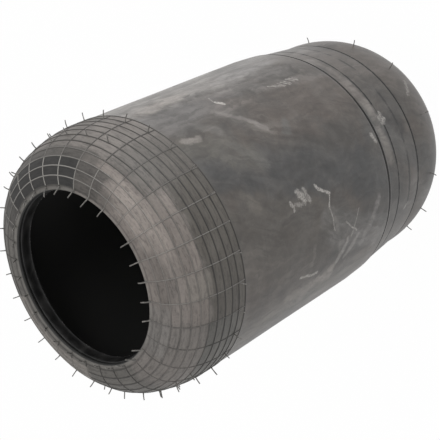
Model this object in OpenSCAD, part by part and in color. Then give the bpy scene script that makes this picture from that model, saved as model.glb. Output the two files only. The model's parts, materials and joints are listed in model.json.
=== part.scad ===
// Air spring bellows: a moulded rubber sleeve on two cord plies, closed on a wire bead at each end.
// Lengths are millimetres. The axis is +Z with the wide bead on top.
// The origin is the centre of the lower lip, where the part stands.

/* [Sleeve] */
// Height from lip to lip
overall_h = 445; // [420:1:520]
// Outside diameter of the plain sleeve
sleeve_d = 250; // [246:1:262]
// Height of the moulded step above the lower lip
step_h = 146; // [138:1:160]
// How much the sleeve narrows on its radius, down to the step
sleeve_narrow = 1.4; // [1:0.1:1.8]
// Width of the ledge at the step
step_w = 1; // [0.6:0.1:1.2]
// Outside diameter of the tail, where it meets the lower shoulder
tail_d = 234; // [232:0.5:238]
// Height of the upper mould line on the tail
upper_line_h = 126; // [116:1:130]
// Height of the lower mould line on the tail
lower_line_h = 84; // [78:1:100]

/* [Wall] */
// Thickness of the outer rubber cover
cover_t = 1.5; // [1.4:0.1:1.8]
// Thickness of one rubberised cord ply
ply_t = 1; // [0.8:0.1:1.2]
// Thickness of the airtight liner
liner_t = 1.2; // [0.9:0.1:1.5]

/* [Upper end] */
// Diameter of the bead seat
top_seat_d = 160; // [150:1:164]
// Radius of the nose round
top_nose_r = 34.4; // [32:0.2:36]
// Radius of the large shoulder curve
top_crown_r = 106; // [96:1:120]
// Straight land between the shoulder curve and the last mould ring
top_land = 12.5; // [8:0.5:18]

/* [Lower end] */
// Diameter of the bead seat
bottom_seat_d = 130; // [122:1:134]
// Radius of the nose round
bottom_nose_r = 24; // [22:0.5:26]
// Radius of the large shoulder curve
bottom_crown_r = 87.5; // [82:0.5:94]

/* [Beads] */
// Diameter of one bead wire
wire_d = 1.2; // [1:0.05:1.3]
// Thickness of the fabric wrap round the wires
wrap_t = 0.6; // [0.4:0.1:0.8]
// Thickness of the chafer on the seat
chafer_t = 1.4; // [1.1:0.1:2]
// Depth of the chafer's upper edge below the lip
chafer_edge = 4.2; // [3.8:0.1:5]
// Width of the flat lip and its rounded heel, from the seat to the nose round
lip_w = 6; // [5:0.2:7]
// Radius of the heel, where the lip turns into the seat
heel_r = 2.4; // [1.6:0.2:3]
// Radius of the toe, at the inner edge of the seat
toe_r = 1.2; // [0.8:0.1:2]
// Radius of the inside corner behind the bead
corner_r = 6; // [5:0.5:8]
// Length along the shoulder, from the nose to where the wall leaves the bead
split_run = 34; // [31:0.5:37]

/* [Mould ribs] */
// Number of rings round the upper shoulder
ring_count = 11; // [8:1:13]
// Number of ribs that run from lip to sleeve
rib_count = 30; // [24:2:36]
// Width of a rib at its foot
rib_w = 1.1; // [0.8:0.1:1.4]
// Height of a ring
ring_h = 0.6; // [0.5:0.05:0.8]
// Height of a rib
rib_h = 0.45; // [0.3:0.05:0.45]
// Width and depth of the mould lines on the tail
line_groove = 0.8; // [0.6:0.1:1]

/* [Vent whiskers] */
// Length of a whisker
whisker_l = 8; // [5:0.5:8]
// Diameter of a whisker at its tip
whisker_d = 0.9; // [0.8:0.1:1.2]
// Diameter of a whisker at its root
whisker_root_d = 1.5; // [1.3:0.1:1.8]
// Length of the tapered root of a whisker
whisker_root_l = 1; // [0.5:0.1:2]
// Lean of the lip whiskers towards the bore
lip_lean = 25; // [10:1:25]
// Height of the whiskers on the tail
tail_whisker_h = 54; // [48:1:60]

/* [Clearances] */
// Skim gap between layers that are cured together
skim = 0.1; // [0.06:0.01:0.12]
// Gap between the bead parts and the wall that folds round them
bond = 0.3; // [0.3:0.02:0.36]

/* [Hidden] */
$fn = 96;

rubber = [0.24, 0.23, 0.22];
cord = [0.42, 0.36, 0.28];
steel = [0.62, 0.6, 0.55];
gum = [0.16, 0.16, 0.16];

// Wires lie in rings of 1, 6 and 12 round the centre of the core
core_rings = 2;
wire_pitch = wire_d + skim;
core_r = core_rings * wire_pitch + wire_d / 2;

// Radii of the layers that fold round the core, from its centre
wrap_in = core_r + skim;
wrap_out = wrap_in + wrap_t;
outer_in = wrap_out + bond;
outer_out = outer_in + ply_t;
inner_in = outer_out + skim;
inner_out = inner_in + ply_t;
liner_in = inner_out + skim;
liner_out = liner_in + liner_t;
chafer_in = inner_out + bond;
seat_off = chafer_in + chafer_t;
bead_r = liner_in + cover_t;

// How much shallower a layer lies in the wall than where it folds round the core
wall_shift = outer_in - cover_t - skim;

// The sleeve narrows over this much of the height above the step
taper_up = 24;
step_r = sleeve_d / 2 - sleeve_narrow - step_w;

// An end holds its seat, nose, crown and wall radii
top = [top_seat_d / 2, top_nose_r, top_crown_r, sleeve_d / 2];
bottom = [bottom_seat_d / 2, bottom_nose_r, bottom_crown_r, tail_d / 2];

function seat_r(e) = e[0];
function nose_r(e) = e[1];
function crown_r(e) = e[2];
function wall_r(e) = e[3];

// Points of an end are [radius, depth below the lip], and angles turn from outward to the lip
function polar(c, r, a) = c + r * [cos(a), -sin(a)];
function arc(c, r, a0, a1, n) = [for (i = [0 : n]) polar(c, r, a0 + (a1 - a0) * i / n)];

// Centres of the nose round and of the large shoulder curve, which meet without a kink
function nose_c(e) = [seat_r(e) + lip_w, nose_r(e)];
function crown_c(e) =
    let (reach = nose_c(e)[0] - wall_r(e) + crown_r(e))
    [wall_r(e) - crown_r(e), nose_r(e) + sqrt(pow(crown_r(e) - nose_r(e), 2) - reach * reach)];
function bearing(from, to) = atan2(from[1] - to[1], to[0] - from[0]);
function join_a(e) = bearing(crown_c(e), nose_c(e));

// A point of the shoulder at an angle, sunk by a depth
function skin(e, a, sunk) =
    a >= join_a(e)
    ? polar(nose_c(e), nose_r(e) - sunk, a)
    : polar(crown_c(e), crown_r(e) - sunk, a);
function skin_arc(e, a0, a1, sunk, n = 12) = [for (i = [0 : n]) skin(e, a0 + (a1 - a0) * i / n, sunk)];

// Length along the shoulder from the nose to the land, and the point at a length
function nose_len(e) = nose_r(e) * (90 - join_a(e)) * PI / 180;
function crown_len(e) = crown_r(e) * join_a(e) * PI / 180;
function along_a(e, s) =
    s < nose_len(e)
    ? 90 - s / nose_r(e) * 180 / PI
    : join_a(e) - (s - nose_len(e)) / crown_r(e) * 180 / PI;
function on_skin(e, s, raised) =
    let (land = s - nose_len(e) - crown_len(e))
    land < 0 ? skin(e, along_a(e, s), -raised) : [wall_r(e) + raised, crown_c(e)[1] + land];

// The core's centre, and the round that turns each ply from the bead into the wall
function split_a(e) = along_a(e, split_run);
function core_c(e) =
    let (x = seat_r(e) + seat_off, reach = nose_r(e) - bead_r)
    [x, nose_r(e) - sqrt(reach * reach - pow(x - nose_c(e)[0], 2))];
function wrap_a(e) = bearing(nose_c(e), core_c(e));
function split_c(e) = split_a(e) >= join_a(e) ? nose_c(e) : crown_c(e);
function split_r(e) = split_a(e) >= join_a(e) ? nose_r(e) : crown_r(e);
function turn_reach(e) = split_r(e) + wall_shift - corner_r - liner_out;
function turn_c(e) = polar(split_c(e), turn_reach(e), split_a(e));
function turn_r(fold) = corner_r + liner_out - fold;
function line_a(e) =
    let (away = norm(turn_c(e) - core_c(e)))
    bearing(core_c(e), turn_c(e)) - acos((corner_r + liner_out) / away);

// Where the outer ply, on its way to the wall, rises to a depth under the shoulder
function meet_turn(e, sunk, fold) =
    let (far = split_r(e) - sunk, r = turn_r(fold))
    split_a(e) + acos((far * far - pow(turn_reach(e), 2) - r * r) / (2 * turn_reach(e) * r));
function meet_a(e, sunk, fold) =
    bearing(split_c(e), polar(turn_c(e), turn_r(fold), meet_turn(e, sunk, fold)));

// One face of a layer from the bead to the wall, at a radius from the core's centre
function wall_face(e, fold) = concat(
    arc(turn_c(e), turn_r(fold), line_a(e) + 180, split_a(e), 8),
    skin_arc(e, split_a(e), 0, fold - wall_shift)
);
turn_up_margin = 3;
function ply_face(e, fold, inmost) = concat(
    skin_arc(e, meet_a(e, bead_r - inmost + skim, outer_in) + turn_up_margin, wrap_a(e), bead_r - fold, 8),
    arc(core_c(e), fold, wrap_a(e), line_a(e) + 360, 20),
    wall_face(e, fold)
);

// An end's points in the bellows' own frame
function up(points) = [for (p = points) [p[0], overall_h - p[1]]];
function flip(points) = [for (i = [len(points) - 1 : -1 : 0]) points[i]];

// The taper from the sleeve to the end of the tail, sunk under the outline below the step
function taper(sunk) = [
    [sleeve_d / 2 - sunk, step_h + taper_up],
    [step_r - sunk, step_h],
    [tail_d / 2 - sunk, lower_line_h]
];
function tail_r(z) = tail_d / 2 + (step_r - tail_d / 2) * (z - lower_line_h) / (step_h - lower_line_h);

module layer(face_a, face_b) {
    rotate_extrude()
        polygon(concat(face_a, flip(face_b)));
}

function whole_ply(fold, inmost) = concat(
    up(ply_face(top, fold, inmost)),
    taper(fold - wall_shift),
    flip(ply_face(bottom, fold, inmost))
);

module outer_ply() {
    color(cord)
        layer(whole_ply(outer_in, outer_in), whole_ply(outer_out, outer_in));
}

module inner_ply() {
    color(cord)
        layer(whole_ply(inner_in, inner_in), whole_ply(inner_out, inner_in));
}

// The liner starts where the flat behind the bead does, clear of the chafer
function liner_face(e, fold) = concat(
    [polar(core_c(e), fold, line_a(e)) + bond * [-sin(line_a(e)), -cos(line_a(e))]],
    wall_face(e, fold)
);
function whole_liner(fold) = concat(
    up(liner_face(top, fold)),
    taper(fold - wall_shift),
    flip(liner_face(bottom, fold))
);

module inner_liner() {
    color(gum)
        layer(whole_liner(liner_in), whole_liner(liner_out));
}

// The cover ends over the heel, just short of the chafer, and its edge flares away from the bore
cover_relief = 0.5;
edge_flare = 0.5;
function edge_a(e, fold, depth) = 180 - asin((core_c(e)[1] - depth) / fold);
function cover_end(e) = concat(
    [[seat_r(e) + cover_relief + edge_flare, chafer_edge - bond]],
    arc([seat_r(e) + cover_relief + heel_r, heel_r], heel_r, 180, 90, 6)
);
function cover_inside(e) = concat(
    arc(core_c(e), liner_in, edge_a(e, liner_in, chafer_edge - bond), wrap_a(e), 8),
    skin_arc(e, wrap_a(e), 0, cover_t, 24)
);

// Raised mould rings, spaced evenly along the upper shoulder from the nose to the end of the land
shoulder_len = nose_len(top) + crown_len(top) + top_land;
ring_pitch = shoulder_len / ring_count;
cell_steps = 4;
rib_top_w = rib_w * 0.6;
function ring_profile(s) = [
    on_skin(top, s - rib_w / 2, 0),
    on_skin(top, s - rib_top_w / 2, ring_h),
    on_skin(top, s + rib_top_w / 2, ring_h),
    on_skin(top, s + rib_w / 2, 0)
];
function ringed_shoulder() = [
    for (k = [0 : ring_count - 1], j = [0 : cell_steps - 1])
        let (s = ring_pitch * (k + j / cell_steps))
        each (j == 0 && k > 0 ? ring_profile(s) : [on_skin(top, s, 0)])
];

// A mould line is a shallow groove in the tail
function groove(z) = [
    [tail_r(z + line_groove / 2), z + line_groove / 2],
    [tail_r(z) - line_groove / 2, z],
    [tail_r(z - line_groove / 2), z - line_groove / 2]
];

module cover_body() {
    rotate_extrude()
        polygon(concat(
            up(cover_end(top)),
            up(ringed_shoulder()),
            up(ring_profile(shoulder_len)),
            [[sleeve_d / 2, step_h + taper_up]],
            [[step_r + step_w, step_h]],
            [[step_r, step_h]],
            groove(upper_line_h),
            groove(lower_line_h),
            flip(concat(cover_end(bottom), skin_arc(bottom, 90, 0, 0, 24))),
            cover_inside(bottom),
            flip(taper(cover_t)),
            up(flip(cover_inside(top)))
        ));
}

// A rib runs straight down the upper shoulder, from the heel to the last ring
rib_root = 0.5;
rib_steps = 30;
module meridian_rib() {
    lip_start = [seat_r(top) + cover_relief + heel_r, 0];
    rise = [0, -rib_h];
    outside = [for (i = [0 : rib_steps]) on_skin(top, shoulder_len * i / rib_steps, rib_h)];
    inside = [for (i = [0 : rib_steps]) on_skin(top, shoulder_len * i / rib_steps, -rib_root)];
    rotate([90, 0, 0])
        linear_extrude(rib_top_w, center = true)
            polygon(up(concat(
                [lip_start - rise * rib_root / rib_h, lip_start + rise],
                outside,
                flip(inside)
            )));
}

module outer_cover() {
    color(rubber)
        union() {
            cover_body();
            for (i = [0 : rib_count - 1])
                rotate(360 * i / rib_count)
                    meridian_rib();
        }
}

// Wires of the bead core, in rings of six, twelve and so on round the first
// Each wire is eight-sided, which keeps the mesh of so many long rings small
wire_sides = 8;
module wire_ring(r, depth) {
    rotate_extrude()
        translate([r, depth])
            circle(d = wire_d, $fn = wire_sides);
}

module bead_core(e) {
    c = core_c(e);
    color(steel) {
        wire_ring(c[0], c[1]);
        for (ring = [1 : core_rings], side = [0 : 5], step = [0 : ring - 1]) {
            corner = ring * wire_pitch * [cos(60 * side), sin(60 * side)];
            next = ring * wire_pitch * [cos(60 * side + 60), sin(60 * side + 60)];
            p = c + corner + (next - corner) * step / ring;
            wire_ring(p[0], p[1]);
        }
    }
}

module core_wrap(e) {
    color(cord)
        rotate_extrude()
            translate(core_c(e))
                difference() {
                    circle(r = wrap_out, $fn = 48);
                    circle(r = wrap_in, $fn = 48);
                }
}

// The filler is the wedge between the turned-up plies and the plies on their way to the wall
filler_a = 50;
filler_run = 2.5;
module bead_filler(e) {
    fold = wrap_out;
    sunk = bead_r - fold;
    c = core_c(e);
    corner = polar(c, fold + skim, filler_a);
    start_a = acos((corner[0] - nose_c(e)[0]) / (nose_r(e) - sunk));
    foot = polar(c, fold, line_a(e)) + filler_run * [-sin(line_a(e)), -cos(line_a(e))];
    color(gum)
        rotate_extrude()
            polygon(concat(
                arc(c, fold + skim, filler_a, -45, 10),
                [foot],
                arc(turn_c(e), turn_r(fold), line_a(e) + 180, meet_turn(e, sunk, fold) + 2, 6),
                skin_arc(e, meet_a(e, sunk, fold) + 1, start_a, sunk, 10)
            ));
}

// The chafer lines the seat and wraps the toe
module chafer(e) {
    c = core_c(e);
    toe_depth = c[1] + seat_off;
    end_a = line_a(e) + 360;
    color(rubber)
        rotate_extrude()
            polygon(concat(
                [[seat_r(e), chafer_edge]],
                arc([seat_r(e) + toe_r, toe_depth - toe_r], toe_r, 180, 270, 5),
                [polar(c, liner_out, end_a)],
                arc(c, chafer_in, end_a, edge_a(e, chafer_in, chafer_edge), 16)
            ));
}

module at_top() {
    translate([0, 0, overall_h])
        mirror([0, 0, 1])
            children();
}

module top_bead_core() { at_top() bead_core(top); }
module top_core_wrap() { at_top() core_wrap(top); }
module top_bead_filler() { at_top() bead_filler(top); }
module top_chafer() { at_top() chafer(top); }
module bottom_bead_core() { bead_core(bottom); }
module bottom_core_wrap() { core_wrap(bottom); }
module bottom_bead_filler() { bead_filler(bottom); }
module bottom_chafer() { chafer(bottom); }

// A vent whisker stands on its tapered root
whisker_lift = 0.04;
module whisker() {
    color(rubber)
        rotate_extrude($fn = 16)
            polygon([
                [0, 0],
                [whisker_root_d / 2, 0],
                [whisker_d / 2, whisker_root_l],
                [whisker_d / 2, whisker_l],
                [0, whisker_l]
            ]);
}

// Places a whisker on the shoulder at a length from the nose, square to the rubber
module on_shoulder(s, raised) {
    a = max(0, along_a(top, s));
    p = on_skin(top, s, raised + whisker_lift);
    translate([p[0], 0, overall_h - p[1]])
        rotate([0, 90 - a, 0])
            whisker();
}

module whisker_ring(s, raised, indices, shift = 0) {
    for (i = indices)
        rotate(360 / rib_count * (i + shift))
            on_shoulder(s, raised);
}

// Lip whiskers stand on the flat lip and lean over the bore without crossing it
// Two of them were torn off
lip_whisker_inset = 1.2;
torn_off = [20, 26];
module lip_whiskers() {
    lift = whisker_root_d / 2 * sin(lip_lean) + whisker_lift + rib_h;
    for (i = [0 : rib_count - 1])
        if (i != torn_off[0] && i != torn_off[1])
            rotate(360 / rib_count * i)
                translate([nose_c(top)[0] - lip_whisker_inset, 0, overall_h + lift])
                    rotate([0, -lip_lean, 0])
                        whisker();
}

// Rings that carry whiskers, and where the whiskers still stand round each
nose_ring = 3;
crown_ring = 5;
mid_ring = 6;
edge_ring = 10;
module nose_whiskers() {
    whisker_ring(ring_pitch * nose_ring, ring_h, [3 : 15]);
}

module crown_whiskers() {
    whisker_ring(ring_pitch * crown_ring, ring_h, [1 : 4]);
    whisker_ring(ring_pitch * crown_ring, ring_h, [14 : 18]);
    whisker_ring(ring_pitch * mid_ring, ring_h, [-2 : 0], 0.5);
    whisker_ring(ring_pitch * mid_ring, ring_h, [17 : 19], -0.5);
}

module edge_whiskers() {
    whisker_ring(ring_pitch * edge_ring, ring_h, [0 : rib_count - 1]);
}

// The tail's whiskers are uneven, because some were trimmed
tail_angles = [11, 35, 62, 90, 113, 140, 164, 192, 220, 235, 257, 289, 318, 342];
module tail_whiskers() {
    drop = crown_c(bottom)[1] - tail_whisker_h;
    a = asin(drop / crown_r(bottom));
    p = skin(bottom, a, -whisker_lift);
    for (t = tail_angles)
        rotate(t)
            translate([p[0], 0, p[1]])
                rotate([0, 90 + a, 0])
                    whisker();
}

outer_cover();
outer_ply();
inner_ply();
inner_liner();
top_bead_core();
top_core_wrap();
top_bead_filler();
top_chafer();
bottom_bead_core();
bottom_core_wrap();
bottom_bead_filler();
bottom_chafer();
lip_whiskers();
nose_whiskers();
crown_whiskers();
edge_whiskers();
tail_whiskers();
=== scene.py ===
"""Air spring bellows: the finished look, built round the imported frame.

Lengths in the dataclasses are millimetres, as in the part's source. Meshes are in metres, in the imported
frame, with +Z along the axis and the wide bead on top.
"""

from __future__ import annotations

import json
import logging
import math
import random
from dataclasses import dataclass, field
from enum import Enum
from functools import partialmethod

import bmesh
import bpy
import numpy as np
from mathutils import Matrix, Vector

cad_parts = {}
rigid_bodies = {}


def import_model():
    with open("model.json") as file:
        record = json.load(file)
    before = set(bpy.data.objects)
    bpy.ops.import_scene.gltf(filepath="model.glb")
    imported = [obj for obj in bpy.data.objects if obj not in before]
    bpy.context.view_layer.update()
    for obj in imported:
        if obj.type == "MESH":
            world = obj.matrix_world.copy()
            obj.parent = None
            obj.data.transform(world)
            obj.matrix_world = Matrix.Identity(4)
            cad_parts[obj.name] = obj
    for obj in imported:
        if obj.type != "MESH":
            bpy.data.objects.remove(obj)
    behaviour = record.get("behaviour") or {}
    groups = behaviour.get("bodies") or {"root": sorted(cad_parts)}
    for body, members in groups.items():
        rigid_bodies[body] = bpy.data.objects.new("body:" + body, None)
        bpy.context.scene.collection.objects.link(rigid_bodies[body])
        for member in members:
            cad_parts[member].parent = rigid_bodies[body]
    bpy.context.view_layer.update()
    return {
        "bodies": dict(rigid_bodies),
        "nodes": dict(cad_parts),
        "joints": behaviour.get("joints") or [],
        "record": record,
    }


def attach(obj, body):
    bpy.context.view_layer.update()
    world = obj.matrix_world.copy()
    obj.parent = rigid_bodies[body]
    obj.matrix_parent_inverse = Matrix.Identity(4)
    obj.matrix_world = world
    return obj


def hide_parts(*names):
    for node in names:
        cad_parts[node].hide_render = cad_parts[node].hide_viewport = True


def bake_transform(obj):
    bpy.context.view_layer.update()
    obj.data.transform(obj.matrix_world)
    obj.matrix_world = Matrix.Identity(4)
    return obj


LOG = logging.getLogger("bellows")

# Sizes that every part of the script shares, and the seam of the unrolled sleeve, in ribs round
MM = 0.001
HEIGHT = 445.0
RIB_COUNT = 30
RING_COUNT = 11
RIB_STEP = 360.0 / RIB_COUNT
SLEEVE_R = 125.0
RIB_PITCH = SLEEVE_R * math.radians(RIB_STEP)
SEAM = 11.0

# Names of the maps and attributes that the finishes read
MOULD_MAP = "mould"
REST_PLACE = "rest_place"
ALONG = "along"
RELIEF = "relief"

# Short names of types
Colour = tuple[float, float, float, float]
Place = tuple[float, float]
Steps = tuple[tuple[float, float, float], ...]
Socket = bpy.types.NodeSocket
Node = bpy.types.Node
Tree = bpy.types.NodeTree
Mesh = bpy.types.Mesh
Material = bpy.types.Material
Piece = bpy.types.Object

# A colour and two kinds of socket that come back
WHITE = (1.0, 1.0, 1.0, 1.0)
FLOAT = "NodeSocketFloat"
INTEGER = "NodeSocketInt"


def tone(red: float, green: float, blue: float) -> Colour:
    """A display colour, 0 to 255, as the linear colour that a socket takes."""
    levels = [level / 255 for level in (red, green, blue)]
    return (*(v / 12.92 if v <= 0.04045 else ((v + 0.055) / 1.055) ** 2.4 for v in levels), 1.0)


def linked(name: str, data: bpy.types.ID) -> Piece:
    """A new object in the scene.

    Args:
        name: Name of the object.
        data: Its mesh, curve, light or camera.

    Returns:
        The object.
    """
    item = bpy.data.objects.new(name, data)
    bpy.context.scene.collection.objects.link(item)
    return item


class Body(Enum):
    """The two bodies of the motion model."""

    WALL = "bellows_wall"
    UPPER = "upper_bead"


class Slot(Enum):
    """The record's material slots."""

    COVER = "cover_rubber"
    WHISKER = "whisker_rubber"
    CHAFER = "chafer_rubber"
    LINER = "liner_rubber"
    FILLER = "filler_rubber"
    PLY = "cord_ply"
    WIRE = "bead_wire"


class Lay(Enum):
    """Which way the streaks of a wipe run: millimetres round for each millimetre up."""

    AXIAL = 0.04
    SLANTED = 0.55


class Ridge(Enum):
    """Which kind of mould ridge a cover material paints."""

    RING = "ring"
    RIB = "rib"


# The drawing of the laminate, with the same arcs as the part's source


def polar(centre: np.ndarray, radius: float, angle: float) -> np.ndarray:
    """A point of [radius, depth] on an arc, its angle in degrees turning from outward to the lip."""
    turn = math.radians(angle)
    return np.array([centre[0] + radius * math.cos(turn), centre[1] - radius * math.sin(turn)])


def arc(centre: np.ndarray, radius: float, start: float, end: float, steps: int) -> list[np.ndarray]:
    """Points of an arc between two angles in degrees, both ends included."""
    return [polar(centre, radius, start + (end - start) * i / steps) for i in range(steps + 1)]


def bearing(origin: np.ndarray, target: np.ndarray) -> float:
    """The angle in degrees at which one point sees another."""
    return math.degrees(math.atan2(origin[1] - target[1], target[0] - origin[0]))


@dataclass(frozen=True)
class Layers:
    """Thicknesses of the layers that fold round a bead core, and the radii that they reach."""

    cover_t: float = 1.5
    ply_t: float = 1.0
    liner_t: float = 1.2
    wire_d: float = 1.2
    wrap_t: float = 0.6
    chafer_t: float = 1.4
    skim: float = 0.1
    bond: float = 0.3

    @property
    def outer_in(self) -> float:
        """Inner radius of the outer ply."""
        core = 2 * (self.wire_d + self.skim) + self.wire_d / 2
        return core + self.skim + self.wrap_t + self.bond

    @property
    def outer_out(self) -> float:
        """Outer radius of the outer ply."""
        return self.outer_in + self.ply_t

    @property
    def inner_in(self) -> float:
        """Inner radius of the inner ply."""
        return self.outer_out + self.skim

    @property
    def inner_out(self) -> float:
        """Outer radius of the inner ply."""
        return self.inner_in + self.ply_t

    @property
    def liner_in(self) -> float:
        """Inner radius of the liner and of the cover over the bead."""
        return self.inner_out + self.skim

    @property
    def liner_out(self) -> float:
        """Outer radius of the liner."""
        return self.liner_in + self.liner_t

    @property
    def chafer_in(self) -> float:
        """Inner radius of the chafer."""
        return self.inner_out + self.bond

    @property
    def seat_off(self) -> float:
        """Distance from the core's centre to the seat."""
        return self.chafer_in + self.chafer_t

    @property
    def bead_r(self) -> float:
        """Distance from the core's centre to the outline of the shoulder."""
        return self.liner_in + self.cover_t

    @property
    def wall_shift(self) -> float:
        """How much shallower a layer lies in the wall than round the core."""
        return self.outer_in - self.cover_t - self.skim


@dataclass(frozen=True)
class BeadEnd:
    """One rounded end, from its seat over the nose and the shoulder to the wall."""

    seat_r: float
    nose_r: float
    crown_r: float
    wall_r: float
    upper: bool
    layers: Layers = field(default_factory=Layers)
    lip_w: float = 6.0
    heel_r: float = 2.4
    toe_r: float = 1.2
    corner_r: float = 6.0
    split_run: float = 34.0
    chafer_edge: float = 4.2
    edge_relief: float = 0.5

    @property
    def nose_c(self) -> np.ndarray:
        """Centre of the nose round."""
        return np.array([self.seat_r + self.lip_w, self.nose_r])

    @property
    def crown_c(self) -> np.ndarray:
        """Centre of the large shoulder curve.

        Returns:
            Its radius and its depth from the lip, in millimetres.
        """
        reach = self.nose_c[0] - self.wall_r + self.crown_r
        drop = math.sqrt((self.crown_r - self.nose_r) ** 2 - reach**2)
        return np.array([self.wall_r - self.crown_r, self.nose_r + drop])

    @property
    def join_a(self) -> float:
        """Angle at which the nose round meets the shoulder curve."""
        return bearing(self.crown_c, self.nose_c)

    @property
    def nose_len(self) -> float:
        """Length along the nose round."""
        return self.nose_r * math.radians(90 - self.join_a)

    @property
    def crown_len(self) -> float:
        """Length along the shoulder curve."""
        return self.crown_r * math.radians(self.join_a)

    @property
    def core_c(self) -> np.ndarray:
        """Centre of the bead core.

        Returns:
            Its radius and its depth from the lip, in millimetres.
        """
        across = self.seat_r + self.layers.seat_off
        reach = self.nose_r - self.layers.bead_r
        return np.array([across, self.nose_r - math.sqrt(reach**2 - (across - self.nose_c[0]) ** 2)])

    @property
    def wrap_a(self) -> float:
        """Angle at which the shoulder lies nearest to the core."""
        return bearing(self.nose_c, self.core_c)

    @property
    def split(self) -> tuple[np.ndarray, float, float]:
        """Centre, radius and angle of the shoulder where the wall leaves the bead.

        Returns:
            The centre as radius and depth, then the radius, then the angle in degrees.
        """
        angle = self.angle_at(self.split_run)
        if angle >= self.join_a:
            return self.nose_c, self.nose_r, angle
        return self.crown_c, self.crown_r, angle

    @property
    def turn_c(self) -> np.ndarray:
        """Centre of the round that turns each ply from the bead into the wall."""
        centre, radius, angle = self.split
        return polar(centre, radius + self.layers.wall_shift - self.corner_r - self.layers.liner_out, angle)

    @property
    def line_a(self) -> float:
        """Angle at which the plies leave the core towards that round.

        Returns:
            The angle in degrees.
        """
        away = float(np.linalg.norm(self.turn_c - self.core_c))
        spread = math.degrees(math.acos((self.corner_r + self.layers.liner_out) / away))
        return bearing(self.core_c, self.turn_c) - spread

    def turn_r(self, fold: float) -> float:
        """Radius of that round for a face at a radius from the core's centre."""
        return self.corner_r + self.layers.liner_out - fold

    def skin(self, angle: float, sunk: float = 0.0) -> np.ndarray:
        """A point of the shoulder at an angle, sunk by a depth."""
        if angle >= self.join_a:
            return polar(self.nose_c, self.nose_r - sunk, angle)
        return polar(self.crown_c, self.crown_r - sunk, angle)

    def skin_arc(self, start: float, end: float, sunk: float, steps: int = 12) -> list[np.ndarray]:
        """Points of the shoulder between two angles, sunk by a depth."""
        return [self.skin(start + (end - start) * i / steps, sunk) for i in range(steps + 1)]

    def angle_at(self, run: float) -> float:
        """Angle of the shoulder at a length from the nose."""
        if run < self.nose_len:
            return 90 - math.degrees(run / self.nose_r)
        return self.join_a - math.degrees((run - self.nose_len) / self.crown_r)

    def on_skin(self, run: float, raised: float = 0.0) -> np.ndarray:
        """A point above the shoulder or its land, at a length from the nose.

        Args:
            run: Length along the skin from the nose.
            raised: Height above the skin.

        Returns:
            The point, as radius and depth from the lip.
        """
        land = run - self.nose_len - self.crown_len
        if land < 0:
            return self.skin(self.angle_at(run), -raised)
        return np.array([self.wall_r + raised, self.crown_c[1] + land])

    def edge_a(self, fold: float, depth: float) -> float:
        """Angle round the core at which a face reaches a depth on the seat's side."""
        return 180 - math.degrees(math.asin((self.core_c[1] - depth) / fold))

    def meet_a(self, sunk: float, fold: float) -> float:
        """Angle of the shoulder at which the rising outer ply reaches a depth under it.

        Args:
            sunk: Depth under the skin.
            fold: Radius of the face round the bead core.

        Returns:
            The angle in degrees.
        """
        centre, radius, angle = self.split
        far = radius - sunk
        reach = radius + self.layers.wall_shift - self.corner_r - self.layers.liner_out
        turn = self.turn_r(fold)
        bend = math.degrees(math.acos((far**2 - reach**2 - turn**2) / (2 * reach * turn)))
        return bearing(centre, polar(self.turn_c, turn, angle + bend))

    def wall_face(self, fold: float) -> list[np.ndarray]:
        """One face of a layer from the bead to the wall.

        Args:
            fold: Radius of the face round the bead core.

        Returns:
            The points, each as radius and depth from the lip.
        """
        angle = self.split[2]
        corner = arc(self.turn_c, self.turn_r(fold), self.line_a + 180, angle, 8)
        return corner + self.skin_arc(angle, 0, fold - self.layers.wall_shift)

    def ply_face(self, fold: float, inmost: float) -> list[np.ndarray]:
        """One face of a ply, from its turned-up edge round the core to the wall.

        Args:
            fold: Radius of the face round the bead core.
            inmost: The same radius for the ply's inner face.

        Returns:
            The points, each as radius and depth from the lip.
        """
        bead_r = self.layers.bead_r
        edge = self.meet_a(bead_r - inmost + self.layers.skim, self.layers.outer_in) + 3
        turned_up = self.skin_arc(edge, self.wrap_a, bead_r - fold, 8)
        return turned_up + arc(self.core_c, fold, self.wrap_a, self.line_a + 360, 20) + self.wall_face(fold)

    def liner_face(self, fold: float) -> list[np.ndarray]:
        """One face of the liner, from the flat behind the bead to the wall.

        Args:
            fold: Radius of the face round the bead core.

        Returns:
            The points, each as radius and depth from the lip.
        """
        turn = math.radians(self.line_a)
        start = polar(self.core_c, fold, self.line_a)
        start = start + self.layers.bond * np.array([-math.sin(turn), -math.cos(turn)])
        return [start] + self.wall_face(fold)

    def cover_edge(self) -> list[np.ndarray]:
        """The cover's edge over the heel, from the chafer to the lip.

        Returns:
            The points, each as radius and depth from the lip.
        """
        inner = self.seat_r + self.edge_relief
        first = np.array([inner + self.edge_relief, self.chafer_edge - self.layers.bond])
        return [first] + arc(np.array([inner + self.heel_r, self.heel_r]), self.heel_r, 180, 90, 10)

    def cover_inside(self) -> list[np.ndarray]:
        """The cover's hidden face from its edge to the wall.

        Returns:
            The points, each as radius and depth from the lip.
        """
        fold = self.layers.liner_in
        start = self.edge_a(fold, self.chafer_edge - self.layers.bond)
        bead = arc(self.core_c, fold, start, self.wrap_a, 8)
        return bead + self.skin_arc(self.wrap_a, 0, self.layers.cover_t, 24)

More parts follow.
